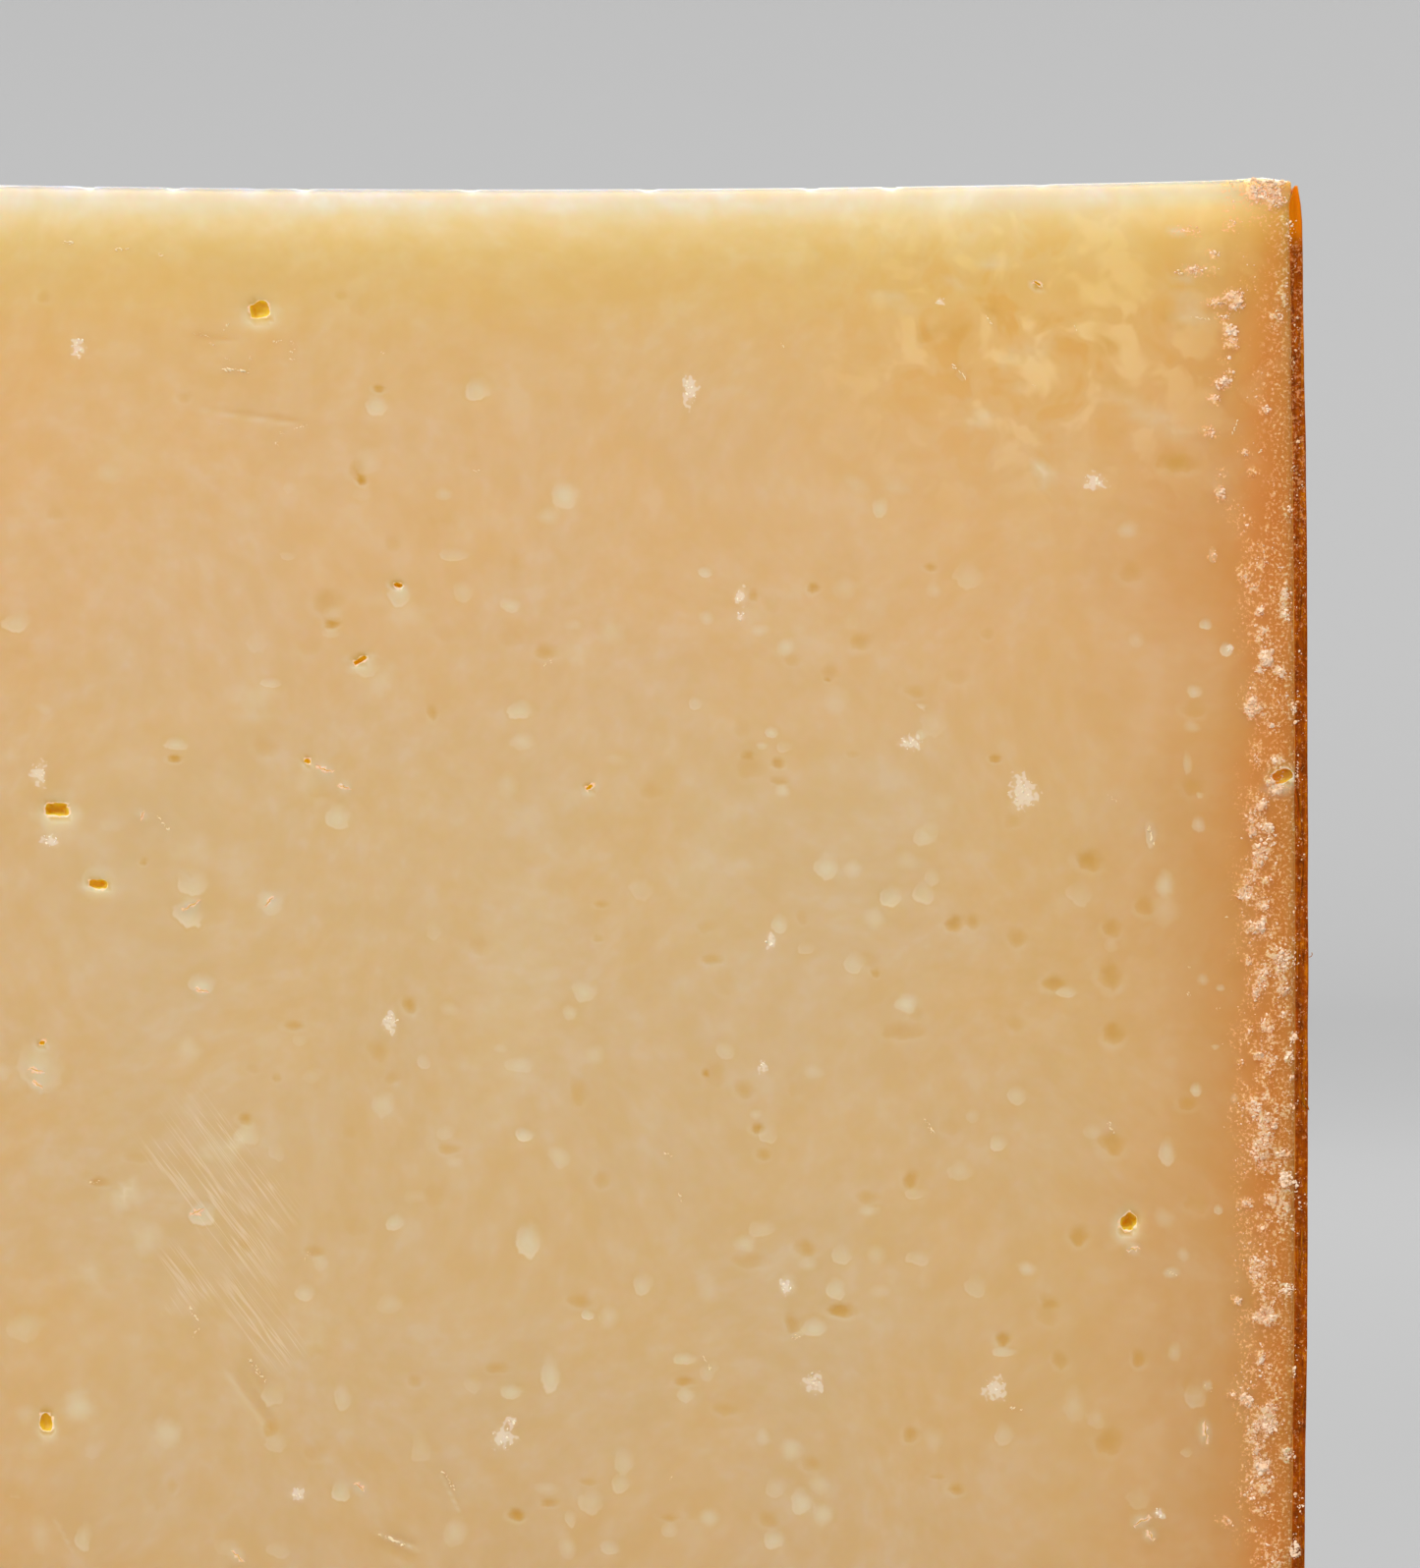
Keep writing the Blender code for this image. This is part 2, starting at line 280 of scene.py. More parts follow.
paleSpots = [
    # place, width, height, strength
    (60.6, 15.4, 2.0, 1.5, 0.7), (67.9, 16.6, 1.7, 1.5, 0.8), (74.2, 22.6, 1.0, 1.0, 0.3),
    (63.0, 23.0, 1.3, 0.9, 0.6), (54.2, 23.1, 2.0, 1.9, 1.0), (31.3, 24.0, 1.2, 1.3, 0.8),
    (55.4, 24.6, 1.8, 1.2, 0.6), (13.2, 25.6, 1.6, 1.2, 0.6), (62.3, 27.4, 2.4, 0.9, 0.4),
    (74.3, 27.5, 1.2, 0.6, 0.4), (44.0, 28.7, 1.1, 0.8, 1.0), (24.8, 28.8, 1.6, 1.4, 0.45),
    (61.6, 30.1, 1.5, 1.5, 0.5), (27.4, 30.0, 1.0, 1.2, 0.45), (58.2, 31.1, 1.4, 1.0, 0.8),
    (43.9, 32.0, 1.1, 1.0, 0.7), (94.1, 32.3, 2.0, 1.5, 0.6), (53.6, 32.5, 1.4, 0.7, 0.4),
    (7.5, 32.5, 0.9, 0.9, 0.9), (40.1, 32.9, 1.3, 0.8, 0.7), (12.6, 33.6, 1.2, 1.0, 0.5),
    (38.1, 34.1, 1.3, 1.3, 0.9), (6.0, 34.3, 0.9, 1.0, 1.0), (75.6, 36.7, 1.6, 0.7, 0.6),
    (8.4, 37.3, 1.1, 1.0, 0.8), (28.3, 38.4, 0.9, 0.4, 0.9), (57.5, 38.7, 1.7, 1.4, 0.8),
    (8.6, 39.9, 1.2, 0.8, 0.6), (39.2, 40.3, 1.0, 0.9, 1.0), (28.3, 40.5, 0.8, 0.9, 1.0),
    (57.3, 41.0, 1.7, 1.3, 0.8), (39.9, 41.3, 1.0, 0.5, 0.8), (82.5, 41.2, 1.9, 0.9, 0.9),
    (50.4, 42.3, 1.6, 0.9, 0.4), (8.9, 42.6, 0.6, 1.6, 0.6), (72.4, 43.8, 2.9, 2.1, 0.4),
    (38.4, 44.6, 1.1, 0.9, 1.0), (8.0, 44.9, 0.6, 0.5, 0.8), (70.7, 46.5, 1.7, 1.9, 0.9),
    (91.0, 46.4, 3.0, 3.4, 0.6), (8.1, 47.0, 0.9, 1.2, 0.7), (27.6, 47.4, 1.3, 1.2, 0.4),
    (28.1, 47.9, 1.4, 1.6, 0.85), (11.6, 47.8, 0.8, 2.0, 0.7), (29.3, 49.5, 1.7, 1.4, 0.45),
    (35.2, 50.1, 1.7, 1.8, 1.0), (33.3, 50.3, 1.3, 1.3, 0.8), (88.2, 51.0, 2.3, 2.2, 0.75),
    (27.5, 50.9, 1.2, 1.3, 0.5), (81.2, 51.3, 2.1, 2.0, 0.6), (10.6, 51.4, 1.3, 2.0, 0.9),
    (28.1, 52.0, 1.5, 1.7, 0.6), (30.5, 52.3, 1.6, 1.7, 0.75), (75.6, 52.7, 1.8, 1.7, 0.9),
    (81.6, 53.6, 2.1, 1.9, 0.8), (31.7, 53.8, 1.4, 1.7, 0.75), (38.6, 54.3, 1.3, 1.3, 0.9),
    (33.2, 57.1, 1.5, 1.6, 0.65), (7.8, 58.3, 0.9, 0.9, 0.6), (80.6, 58.6, 1.9, 1.5, 0.9),
    (6.5, 58.9, 0.7, 0.5, 0.9), (52.8, 59.2, 1.7, 1.5, 0.85), (17.7, 59.2, 1.5, 0.9, 0.7),
    (29.4, 60.1, 1.5, 1.5, 1.2), (53.8, 60.7, 1.1, 1.0, 0.85), (73.5, 62.7, 1.2, 0.8, 0.4),
    (58.8, 63.3, 0.9, 0.7, 0.5), (81.6, 63.4, 1.9, 1.9, 0.65), (6.9, 63.2, 0.7, 0.4, 0.8),
    (42.5, 63.5, 1.4, 1.3, 0.6), (52.0, 63.8, 1.5, 1.3, 0.55), (57.5, 64.5, 1.9, 1.1, 0.7),
    (92.4, 64.6, 3.2, 3.8, 0.7), (36.1, 65.0, 1.7, 0.9, 0.55), (8.3, 66.3, 0.9, 1.0, 0.9),
    (21.3, 66.7, 1.4, 1.5, 0.6), (5.5, 66.9, 0.5, 0.9, 0.8), (67.4, 67.4, 1.6, 1.8, 0.75),
    (40.3, 68.1, 0.9, 0.7, 0.7), (24.6, 68.2, 1.0, 1.0, 0.5), (57.2, 69.6, 1.3, 1.0, 1.2),
    (22.7, 70.2, 1.2, 1.2, 0.75), (10.4, 70.9, 1.1, 2.0, 0.8), (54.6, 71.2, 1.5, 1.5, 0.7),
    (62.2, 71.6, 1.2, 0.8, 0.55), (25.5, 72.2, 1.6, 1.5, 0.55), (28.7, 73.9, 1.6, 0.9, 0.4),
    (65.1, 74.1, 1.8, 0.9, 0.4), (6.6, 75.0, 0.7, 0.8, 0.7), (32.1, 75.1, 1.5, 0.8, 0.85),
    (80.6, 75.4, 2.0, 1.6, 0.95), (13.1, 75.7, 2.3, 2.6, 0.3), (66.6, 76.0, 1.4, 1.1, 1.0),
    (39.8, 76.4, 1.9, 1.2, 0.55), (56.9, 77.3, 1.7, 2.7, 1.0), (41.1, 77.5, 1.7, 1.1, 0.8),
    (34.0, 78.3, 1.5, 1.5, 0.6), (31.6, 78.3, 1.4, 1.5, 0.55), (28.5, 78.5, 1.7, 1.2, 0.5),
    (72.0, 78.9, 1.1, 1.2, 0.6), (36.5, 79.0, 1.3, 1.0, 0.7), (20.6, 79.3, 1.3, 1.1, 0.9),
    (10.1, 79.6, 1.2, 0.8, 0.9), (38.0, 80.5, 1.4, 1.4, 0.9), (48.6, 80.5, 1.4, 1.5, 0.7),
    (34.5, 80.9, 1.5, 1.4, 0.9), (73.1, 81.1, 1.5, 1.1, 0.8), (31.3, 81.0, 1.5, 1.0, 0.5),
    (43.9, 80.9, 1.7, 2.2, 0.35), (66.9, 81.9, 1.8, 1.5, 0.5), (52.5, 82.7, 1.0, 0.7, 1.0),
    (51.0, 82.9, 1.3, 1.7, 0.65), (36.1, 83.6, 1.7, 1.4, 1.0), (93.4, 83.5, 2.8, 2.2, 0.5),
    (37.3, 84.2, 0.9, 0.4, 0.7), (22.3, 85.4, 1.8, 0.7, 1.0), (9.8, 85.4, 1.0, 1.2, 0.6),
    (45.5, 85.9, 1.6, 0.9, 0.9), (43.8, 86.8, 1.2, 1.3, 0.5), (55.3, 87.1, 1.5, 2.4, 0.85),
    (60.9, 87.8, 1.3, 1.2, 0.4), (7.4, 87.8, 0.7, 0.8, 0.8), (58.1, 88.3, 1.7, 1.1, 0.95),
    (45.4, 88.5, 1.3, 1.1, 0.85), (70.4, 88.7, 1.2, 2.0, 0.5), (17.2, 89.2, 1.7, 2.4, 0.5),
    (89.6, 89.4, 2.6, 2.2, 0.95), (83.1, 91.3, 2.0, 2.0, 0.85), (22.3, 91.4, 1.4, 1.7, 0.5),
    (39.8, 91.6, 1.1, 1.1, 0.8), (27.4, 91.8, 1.3, 2.0, 0.45), (75.2, 92.0, 1.8, 1.3, 0.4),
    (64.7, 92.4, 1.5, 2.2, 0.4), (37.8, 92.5, 1.4, 1.6, 0.8), (49.9, 93.3, 1.5, 1.8, 0.55),
    (35.7, 95.0, 1.5, 1.5, 0.65), (50.1, 95.0, 1.4, 1.4, 0.65), (38.9, 95.3, 1.6, 1.5, 0.5),
    (55.5, 95.3, 1.8, 1.0, 0.5), (70.5, 95.5, 1.4, 1.6, 0.75), (12.4, 96.0, 2.0, 1.6, 0.3),
    (37.0, 96.3, 1.5, 1.8, 1.1), (52.3, 96.3, 1.7, 1.8, 0.55), (35.4, 97.2, 1.5, 1.7, 0.95),
    (43.7, 97.4, 1.4, 1.4, 0.8), (53.8, 97.5, 0.9, 1.2, 0.6), (46.6, 98.3, 1.2, 1.2, 0.6),
    (62.2, 98.5, 1.7, 2.0, 0.75), (39.0, 99.0, 1.6, 1.5, 0.9), (89.2, 98.9, 1.2, 2.1, 0.6),
    (92.3, 98.7, 1.4, 2.4, 0.4), (54.0, 99.5, 1.3, 1.9, 0.6), (50.9, 99.6, 1.4, 1.1, 0.6),
    (9.2, 78.3, 0.9, 0.9, 0.7), (7.0, 27.4, 0.6, 1.1, 0.5), (6.4, 22.8, 0.5, 0.9, 0.8),
    (66.2, 30.4, 1.8, 1.5, 0.6), (68.6, 35.7, 2.0, 1.2, 0.6), (68.5, 20.6, 2.0, 2.2, 0.35),
    (69.0, 23.0, 1.4, 1.0, 0.3), (71.2, 33.1, 1.4, 0.7, 0.5),
]

goldenSpots = [
    # place, width, height, strength
    (92.0, 8.5, 1.2, 1.0, 0.5), (70.4, 8.3, 1.2, 0.9, 0.4), (81.9, 15.9, 1.1, 0.9, 0.6),
    (9.6, 20.7, 3.0, 1.4, 0.7), (27.6, 28.3, 1.0, 0.7, 0.9), (13.0, 28.7, 1.7, 1.5, 0.6),
    (36.1, 29.8, 0.9, 0.9, 1.2), (40.5, 30.3, 0.7, 1.0, 0.9), (23.5, 33.1, 1.1, 0.8, 0.6),
    (32.6, 33.7, 1.5, 1.4, 0.7), (55.6, 34.4, 1.6, 1.3, 0.8), (37.6, 35.0, 1.3, 1.0, 0.4),
    (34.9, 35.8, 1.3, 1.2, 0.5), (35.1, 36.4, 0.5, 0.5, 1.0), (25.6, 36.2, 1.7, 1.3, 0.35),
    (28.7, 37.3, 1.4, 1.0, 0.6), (63.8, 38.9, 0.8, 1.1, 0.8), (8.4, 38.6, 1.8, 1.2, 0.5),
    (41.3, 40.0, 1.3, 1.3, 0.4), (33.3, 41.9, 0.9, 0.6, 0.5), (40.9, 42.0, 1.2, 0.9, 0.9),
    (22.9, 42.2, 0.9, 0.7, 1.0), (38.7, 42.5, 1.0, 1.0, 1.0), (38.6, 43.8, 1.4, 0.7, 0.6),
    (8.4, 44.2, 1.9, 1.5, 0.5), (47.9, 44.5, 1.5, 1.3, 0.4), (16.1, 49.6, 1.9, 1.6, 1.0),
    (84.8, 49.7, 0.7, 0.6, 0.9), (12.0, 52.9, 1.5, 1.4, 0.8), (51.6, 52.8, 1.1, 0.6, 0.8),
    (24.6, 54.0, 1.1, 1.2, 0.8), (25.8, 54.2, 1.4, 1.2, 1.0), (14.4, 54.5, 1.4, 1.4, 0.8),
    (21.3, 55.2, 1.5, 1.3, 0.7), (51.8, 55.3, 0.9, 0.6, 0.8), (43.5, 56.8, 1.5, 0.9, 1.0),
    (31.6, 57.8, 0.7, 0.7, 0.8), (14.5, 58.0, 1.9, 1.9, 1.0), (18.6, 58.5, 1.6, 1.3, 0.9),
    (65.5, 60.1, 1.1, 1.3, 1.1), (73.8, 61.6, 1.5, 0.8, 0.9), (29.6, 62.0, 2.7, 1.4, 0.65),
    (14.3, 62.2, 1.6, 1.6, 1.0), (43.9, 65.1, 0.7, 0.8, 1.3), (66.7, 65.4, 1.1, 1.0, 0.5),
    (75.1, 65.4, 0.8, 0.7, 0.6), (41.1, 66.3, 1.6, 1.3, 0.7), (53.1, 66.3, 1.4, 2.1, 0.5),
    (8.9, 67.3, 1.5, 1.0, 0.7), (77.4, 68.4, 1.0, 1.1, 1.1), (40.2, 69.1, 1.0, 0.9, 1.3),
    (14.4, 70.1, 1.9, 1.9, 0.9), (62.6, 70.6, 1.5, 0.9, 0.9), (39.8, 71.0, 1.0, 1.0, 0.8),
    (85.2, 71.2, 2.0, 0.8, 0.4), (51.5, 72.8, 1.4, 1.2, 0.7), (29.1, 72.8, 1.1, 1.4, 0.9),
    (88.0, 73.0, 1.4, 0.8, 0.7), (32.2, 74.1, 1.5, 1.0, 0.6), (8.2, 74.5, 1.8, 1.5, 0.4),
    (16.8, 76.9, 1.5, 1.5, 0.9), (36.7, 77.8, 1.6, 1.3, 0.9), (72.3, 78.0, 1.5, 0.9, 0.6),
    (40.6, 78.7, 3.0, 1.1, 0.5), (53.0, 81.6, 1.7, 1.2, 0.8), (18.9, 81.9, 1.3, 1.0, 0.8),
    (34.1, 82.3, 2.2, 1.1, 1.2), (37.7, 83.2, 1.1, 1.5, 0.8), (22.3, 84.4, 1.2, 1.1, 1.1),
    (12.4, 85.8, 1.1, 1.3, 0.9), (18.1, 85.9, 1.3, 1.3, 0.7), (59.1, 86.5, 1.5, 0.9, 0.7),
    (65.1, 87.5, 1.1, 0.9, 0.7), (45.5, 87.5, 1.5, 0.8, 1.0), (8.5, 87.8, 1.6, 1.3, 0.4),
    (42.5, 89.5, 1.9, 1.0, 0.6), (75.6, 90.9, 1.1, 1.3, 0.9), (29.0, 91.3, 1.1, 1.3, 1.0),
    (14.6, 91.9, 1.9, 1.9, 0.7), (36.3, 93.5, 1.6, 1.0, 0.6), (27.1, 94.4, 1.2, 0.5, 0.6),
    (52.5, 94.8, 1.4, 0.6, 0.5), (82.8, 95.1, 0.9, 1.2, 0.5), (25.7, 95.3, 1.3, 0.9, 1.1),
    (69.3, 21.1, 1.3, 1.5, 0.8), (69.0, 21.9, 0.9, 0.9, 1.6), (67.7, 15.3, 1.1, 0.6, 1.5),
    (82.6, 42.2, 1.3, 0.6, 1.4), (69.2, 34.9, 1.5, 0.8, 0.9), (66.4, 29.5, 1.1, 0.6, 0.8),
    (52.5, 44.2, 0.9, 0.6, 0.9), (91.9, 89.6, 0.9, 0.8, 0.8), (71.4, 30.7, 2.2, 1.9, 0.6),
    (71.1, 32.4, 1.2, 0.8, 1.3), (55.3, 96.3, 1.3, 0.8, 0.8), (57.7, 97.2, 1.3, 0.9, 1.3),
    (46.6, 97.4, 1.4, 0.6, 0.6), (39.4, 97.5, 1.5, 1.2, 0.7),
]

strewnSpots = {
    # how many more on each face, how strong at most, and the seed of their places
    "front": (150, 0.5, 4),
    "back": (260, 1.0, 8),
    "top": (110, 1.0, 15),
}
strewnEyes = {"back": (16, 31), "top": (6, 32)}  # how many, and the seed of their places
strewnCracks = {"back": (12, 41), "top": (4, 42)}

clouds = [
    # soft patches without relief: place, length, height, lean, tone (pale above 0, golden below)
    (19.4, 21.7, 2.9, 1.7, 62, 0.9), (33.1, 22.2, 2.0, 1.5, 0, 0.6),
    (30.1, 22.4, 3.0, 1.0, 15, 0.5), (23.8, 17.6, 2.6, 1.2, -12, 0.6),
    (25.6, 7.6, 2.8, 0.9, 12, 0.6), (23.2, 5.9, 3.2, 1.4, 5, 0.5), (9.9, 3.6, 2.4, 0.6, 10, 0.8),
    (30.6, 8.6, 4.5, 1.8, 18, 0.5), (11.5, 17.4, 8.0, 2.4, 28, 0.5),
    (20.4, 12.6, 7.0, 2.0, -20, 0.35), (8.6, 9.6, 4.0, 3.0, 40, 0.45),
    (8.9, 7.0, 3.4, 1.0, -25, 0.6), (25.6, 11.2, 4.0, 3.0, 25, -0.7),
    (23.2, 9.4, 1.3, 1.2, 0, -0.8), (19.6, 10.3, 1.6, 1.3, 0, -0.8),
    (14.9, 11.8, 2.8, 2.0, 20, -0.9), (10.0, 10.1, 2.4, 1.3, 35, -0.8),
    (14.0, 15.0, 3.0, 1.6, 10, -0.6), (13.5, 18.6, 1.3, 1.1, 0, -0.7),
    (33.9, 15.6, 1.5, 1.3, 0, -0.7), (9.9, 20.9, 3.0, 1.6, -30, -0.6),
    (29.0, 5.6, 3.4, 1.6, -15, -0.5), (78.6, 70.4, 5.4, 2.0, -26, 0.7),
    (86.2, 73.9, 3.6, 2.2, -32, 0.8), (84.8, 77.0, 2.4, 3.2, -20, 0.6),
    (88.6, 79.8, 2.4, 2.0, 0, 0.6), (72.4, 84.4, 2.0, 4.0, 30, 0.35),
    (82.6, 78.9, 3.4, 1.4, 20, -0.4), (77.6, 24.0, 3.0, 1.5, 0, 0.25),
    (58.0, 60.0, 9.0, 24.0, 10, 0.22), (44.0, 52.0, 7.0, 20.0, 0, 0.15),
    (86.0, 20.0, 8.0, 5.0, 0, 0.18), (38.0, 33.0, 12.0, 5.0, 15, 0.18),
    (76.8, 38.4, 3.6, 4.6, 30, 0.35), (81.3, 49.0, 4.4, 2.0, 10, 0.30),
    (66.0, 31.5, 6.0, 3.0, 20, 0.25), (67.5, 36.6, 4.0, 2.6, -20, 0.35),
    (93.6, 34.4, 2.2, 1.6, 20, -0.5), (62.8, 25.0, 2.6, 1.4, 0, -0.45),
    (57.8, 28.2, 1.2, 2.4, 0, -0.45), (61.0, 20.3, 1.6, 1.6, 0, -0.4),
    (90.0, 27.1, 1.6, 1.4, 0, -0.3), (54.0, 30.6, 1.4, 1.2, 0, -0.35),
    (53.4, 34.6, 2.6, 1.8, -30, 0.4), (71.5, 31.0, 1.6, 2.6, 0, -0.35),
    (80.0, 5.2, 34.0, 5.0, 0, -0.2),
]

knifeMarks = [
    # grooves: place, length, width, lean, depth, pale, golden; the pale is a painted highlight along the
    # lower edge, the golden painted shade in the groove
    (76.9, 88.6, 6.6, 0.95, 54, 0.12, 0.25, 0.35),
    (76.9, 17.2, 9.0, 0.60, 8, 0.05, 0.30, 0.50),
    (66.2, 98.9, 4.0, 0.50, 22, 0.08, 0.60, 0.20),
    (66.6, 99.7, 4.4, 0.90, 26, 0.05, 0.00, 0.60),
    (62.3, 95.6, 4.4, 0.35, 64, 0.06, 0.45, 0.30),
    (79.8, 11.6, 5.0, 0.50, 3, 0.05, 0.10, 0.30),
    (73.2, 14.6, 7.0, 0.30, 88, 0.04, 0.20, 0.00),
    (90.4, 98.6, 3.6, 0.50, 62, 0.05, 0.35, 0.10),
]

scratchPatches = [
    # bundles of fine parallel scratches: place, length, width, lean
    (77.9, 71.5, 14.0, 2.4, 53),
    (80.0, 74.5, 15.0, 3.6, 53),
    (76.4, 83.0, 9.0, 3.2, 53),
    (81.5, 80.0, 6.0, 2.0, 53),
]


def anyPlace(draw, face, fromSides, fromEnds):
    # a place on a cut face, at least that far from its sides and its ends
    reach = cutFaces[face]["reach"]
    return (
        draw.uniform(fromSides, wide / mm - fromSides),
        draw.uniform(fromEnds, reach - fromEnds),
    )


def strewSpots(face):
    # spots where none was listed
    count, strongest, seed = strewnSpots[face]
    draw = random.Random(seed)
    for _ in range(count):
        right, top = anyPlace(draw, face, 7, 2.5)
        if face == "front" and top < 30 and draw.random() < 0.6:
            continue
        size = draw.uniform(0.9, 2.0)
        strength = draw.uniform(0.25, strongest)
        yield (right, top, size, size * draw.uniform(0.7, 1.2), strength), draw.random() < 0.6


noSpot = (3.0, 0.0, 0.0, 0.0)


def allSpots(face):
    spots = list(strewSpots(face))
    if face == "front":
        spots += [(spot, True) for spot in paleSpots] + [(spot, False) for spot in goldenSpots]
    return spots


def strewEyes(face):
    # open eyes for the faces where none are listed
    count, seed = strewnEyes[face]
    draw = random.Random(seed)
    for _ in range(count):
        size = draw.uniform(0.5, 1.7)
        place = anyPlace(draw, face, 6, 5)
        height, lean = size * draw.uniform(0.35, 0.9), draw.uniform(-40, 40)
        yield (*place, size, height, lean, draw.uniform(0.2, 0.9), 0.7)


def allEyes(face):
    return list(openEyes.values()) if face == "front" else list(strewEyes(face))


def allCracks(face):
    if face == "front":
        return list(cracks.values())
    count, seed = strewnCracks[face]
    draw = random.Random(seed)
    return [
        (*anyPlace(draw, face, 6, 4), draw.uniform(0.6, 1.8), draw.uniform(-60, 60))
        for _ in range(count)
    ]


class Layers:
    # what the features leave on a cut face: depth in mm, the shares of its tones and its nearest spots
    def __init__(self, fromRight, fromTop, ragged):
        self.fromRight = fromRight
        self.fromTop = fromTop
        self.ragged = ragged  # what makes every outline uneven
        for name in ("depth", "pale", "golden", "scratch", "crystal"):
            setattr(self, name, np.zeros(len(fromRight)))
        # how far out in the nearest spot (its outline is 1), how far to its lower left, strength, crispness
        self.paleSpot = np.tile(noSpot, (len(fromRight), 1))
        self.goldenSpot = self.paleSpot.copy()

    def near(self, right, top, reach):
        close = (abs(self.fromRight - right) < reach) & (abs(self.fromTop - top) < reach)
        return np.nonzero(close)[0]

    def along(self, right, top, lean, reach):
        # the points near a mark, with how far along it and how far beside it they are
        where = self.near(right, top, reach)
        return where, *markPlace((right, top, lean), self.fromRight[where], self.fromTop[where])

    def inSpot(self, where, right, top, width, height):
        # where the points are in an upright spot, whose outline is 1 from its middle
        across = (self.fromRight[where] - right) / (width / 2)
        down = (self.fromTop[where] - top) / (height / 2)
        return across, down, np.arctan2(down, across)

    def raiseTo(self, name, where, amount):
        layer = getattr(self, name)
        layer[where] = np.maximum(layer[where], amount)

    def pressSpot(self, spot, isPale, draw):
        # a shallow dimple; its colours, with its painted highlight and painted shade, are worked out in the
        # paste's finish, from what is kept here
        right, top, width, height, strength = spot
        turn, crisp = draw.uniform(0, 6.3), draw.random() ** 1.5
        where = self.near(right, top, max(width, height) * 1.5)
        if not len(where):
            return
        across, down, angle = self.inSpot(where, right, top, width, height)
        wobble = 1 + 0.06 * np.sin(2 * angle + turn) + 0.04 * np.sin(3 * angle + 2 * turn)
        reach = np.hypot(across, down) * wobble + 0.16 * self.ragged[where]
        same = np.ones(len(where))
        facts = np.stack((reach, 0.85 * down + 0.45 * across, strength * same, crisp * same), axis=1)
        nearest = self.paleSpot if isPale else self.goldenSpot
        closer = reach < nearest[where, 0]
        nearest[where[closer]] = facts[closer]
        deepest = 0.015 + (0.075 if isPale else 0.045) * crisp
        self.raiseTo("depth", where, deepest * strength * fade(reach, 0.2, 1.2))

    def pressEye(self, eye):
        # the pale skin around an open eye; whitest below it as painted light on its lower rim, and golden
        # above it as painted shade
        right, top, width, height, lean, _, depth = eye
        where, across, down = self.along(right, top, lean, 2.6 * width)
        reach = np.hypot(across / (width / 2), down / (height / 2 + 0.12)) + 0.5 * self.ragged[where]
        under = np.clip(0.5 + down / height, 0, 1)
        outside = 1 - fade(reach, 1.05, 1.3)
        self.raiseTo("pale", where, (0.15 + 0.45 * under) * fade(reach, 1.2, 2.0 + 0.9 * under) * outside)
        self.raiseTo("golden", where, np.maximum(0.4 * (1 - under), 1 - outside) * fade(reach, 1.1, 2.2))
        self.raiseTo("depth", where, 0.10 * depth * fade(reach, 0.9, 1.9))

    def pressCrack(self, crack):
        right, top, length, lean = crack
        where, along, away = self.along(right, top, lean, length)
        reach = np.hypot(along / (0.8 * length), away / 0.75)
        self.raiseTo("pale", where, 0.45 * fade(reach, 0.2, 1.0))
        self.depth[where] -= 0.07 * fade(reach, 0.1, 0.9)

    def pressKnife(self, mark):
        right, top, length, width, lean, depth, pale, golden = mark
        where, along, away = self.along(right, top, lean, length)
        ends = fade(abs(along), 0.25 * length, 0.5 * length)
        body = ends * fade(abs(away), 0.3 * width, 0.6 * width)
        edge = ends * ring(away, 0.55 * width, 0.22 * width)
        deeper = 0.6 + 0.8 * along / length
        # painted shade along the groove, deeper towards one end, and a painted highlight along its lower
        # edge
        self.raiseTo("golden", where, golden * body * np.clip(deeper, 0.2, 1))
        self.raiseTo("pale", where, pale * edge)
        self.raiseTo("depth", where, depth * body * deeper)

    def spreadCloud(self, cloud):
        right, top, length, height, lean, tone = cloud
        where, along, away = self.along(right, top, lean, max(length, height))
        reach = np.hypot(along / (length / 2), away / (height / 2))
        reach += 0.25 * np.sin(2.1 * along + 3.0 * away + right)
        name = "pale" if tone > 0 else "golden"
        getattr(self, name)[where] += 0.75 * abs(tone) * fade(reach, 0.1, 1.15)

    def growCrystals(self, cluster):
        right, top, width, height = cluster
        where = self.near(right, top, max(width, height))
        across, down, angle = self.inSpot(where, right, top, width, height)
        reach = np.hypot(across, down) * (1 + 0.15 * np.sin(3 * angle + right))
        self.raiseTo("crystal", where, np.clip(1 - 0.5 * reach, 0, 1))

    def spreadScratches(self, patch):
        right, top, length, width, lean = patch
        where, along, away = self.along(right, top, lean, length)
        share = fade(abs(along), 0.3 * length, 0.5 * length) * fade(abs(away), 0.3 * width, 0.6 * width)
        self.raiseTo("scratch", where, share)


def layFeatures(face, fromRight, fromTop, ragged):
    layers = Layers(fromRight, fromTop, ragged)
    draw = random.Random(21)
    for spot, isPale in allSpots(face):
        layers.pressSpot(spot, isPale, draw)
    for eye in allEyes(face):
        layers.pressEye(eye)
    for crack in allCracks(face):
        layers.pressCrack(crack)
    if face == "front":
        for mark in knifeMarks:
            layers.pressKnife(mark)
        for cloud in clouds:
            layers.spreadCloud(cloud)
        for patch in scratchPatches:
            layers.spreadScratches(patch)
        for cluster in crystalClusters:
            layers.growCrystals(cluster)
    return layers


# The dry band under the rind and its crumbs


crumbStreams = [
    # from the top, distance of the stream from the rind, its half width, how much there is
    (0.0, 4.0, 2.0, 0.8), (1.6, 4.4, 1.6, 0.3), (4.0, 4.4, 1.5, 0.0), (23.0, 5.0, 1.6, 0.0),
    (28.0, 3.0, 1.4, 0.30), (34.0, 2.6, 1.3, 0.25), (39.0, 3.2, 1.5, 0.30), (50.0, 3.6, 1.2, 0.55),
    (56.0, 3.2, 1.6, 0.60), (70.0, 3.0, 1.7, 0.60), (82.0, 3.3, 1.3, 0.55), (96.0, 3.5, 1.2, 0.52),
    (100.0, 3.3, 1.3, 0.35), (128.0, 3.4, 1.3, 0.5),
]
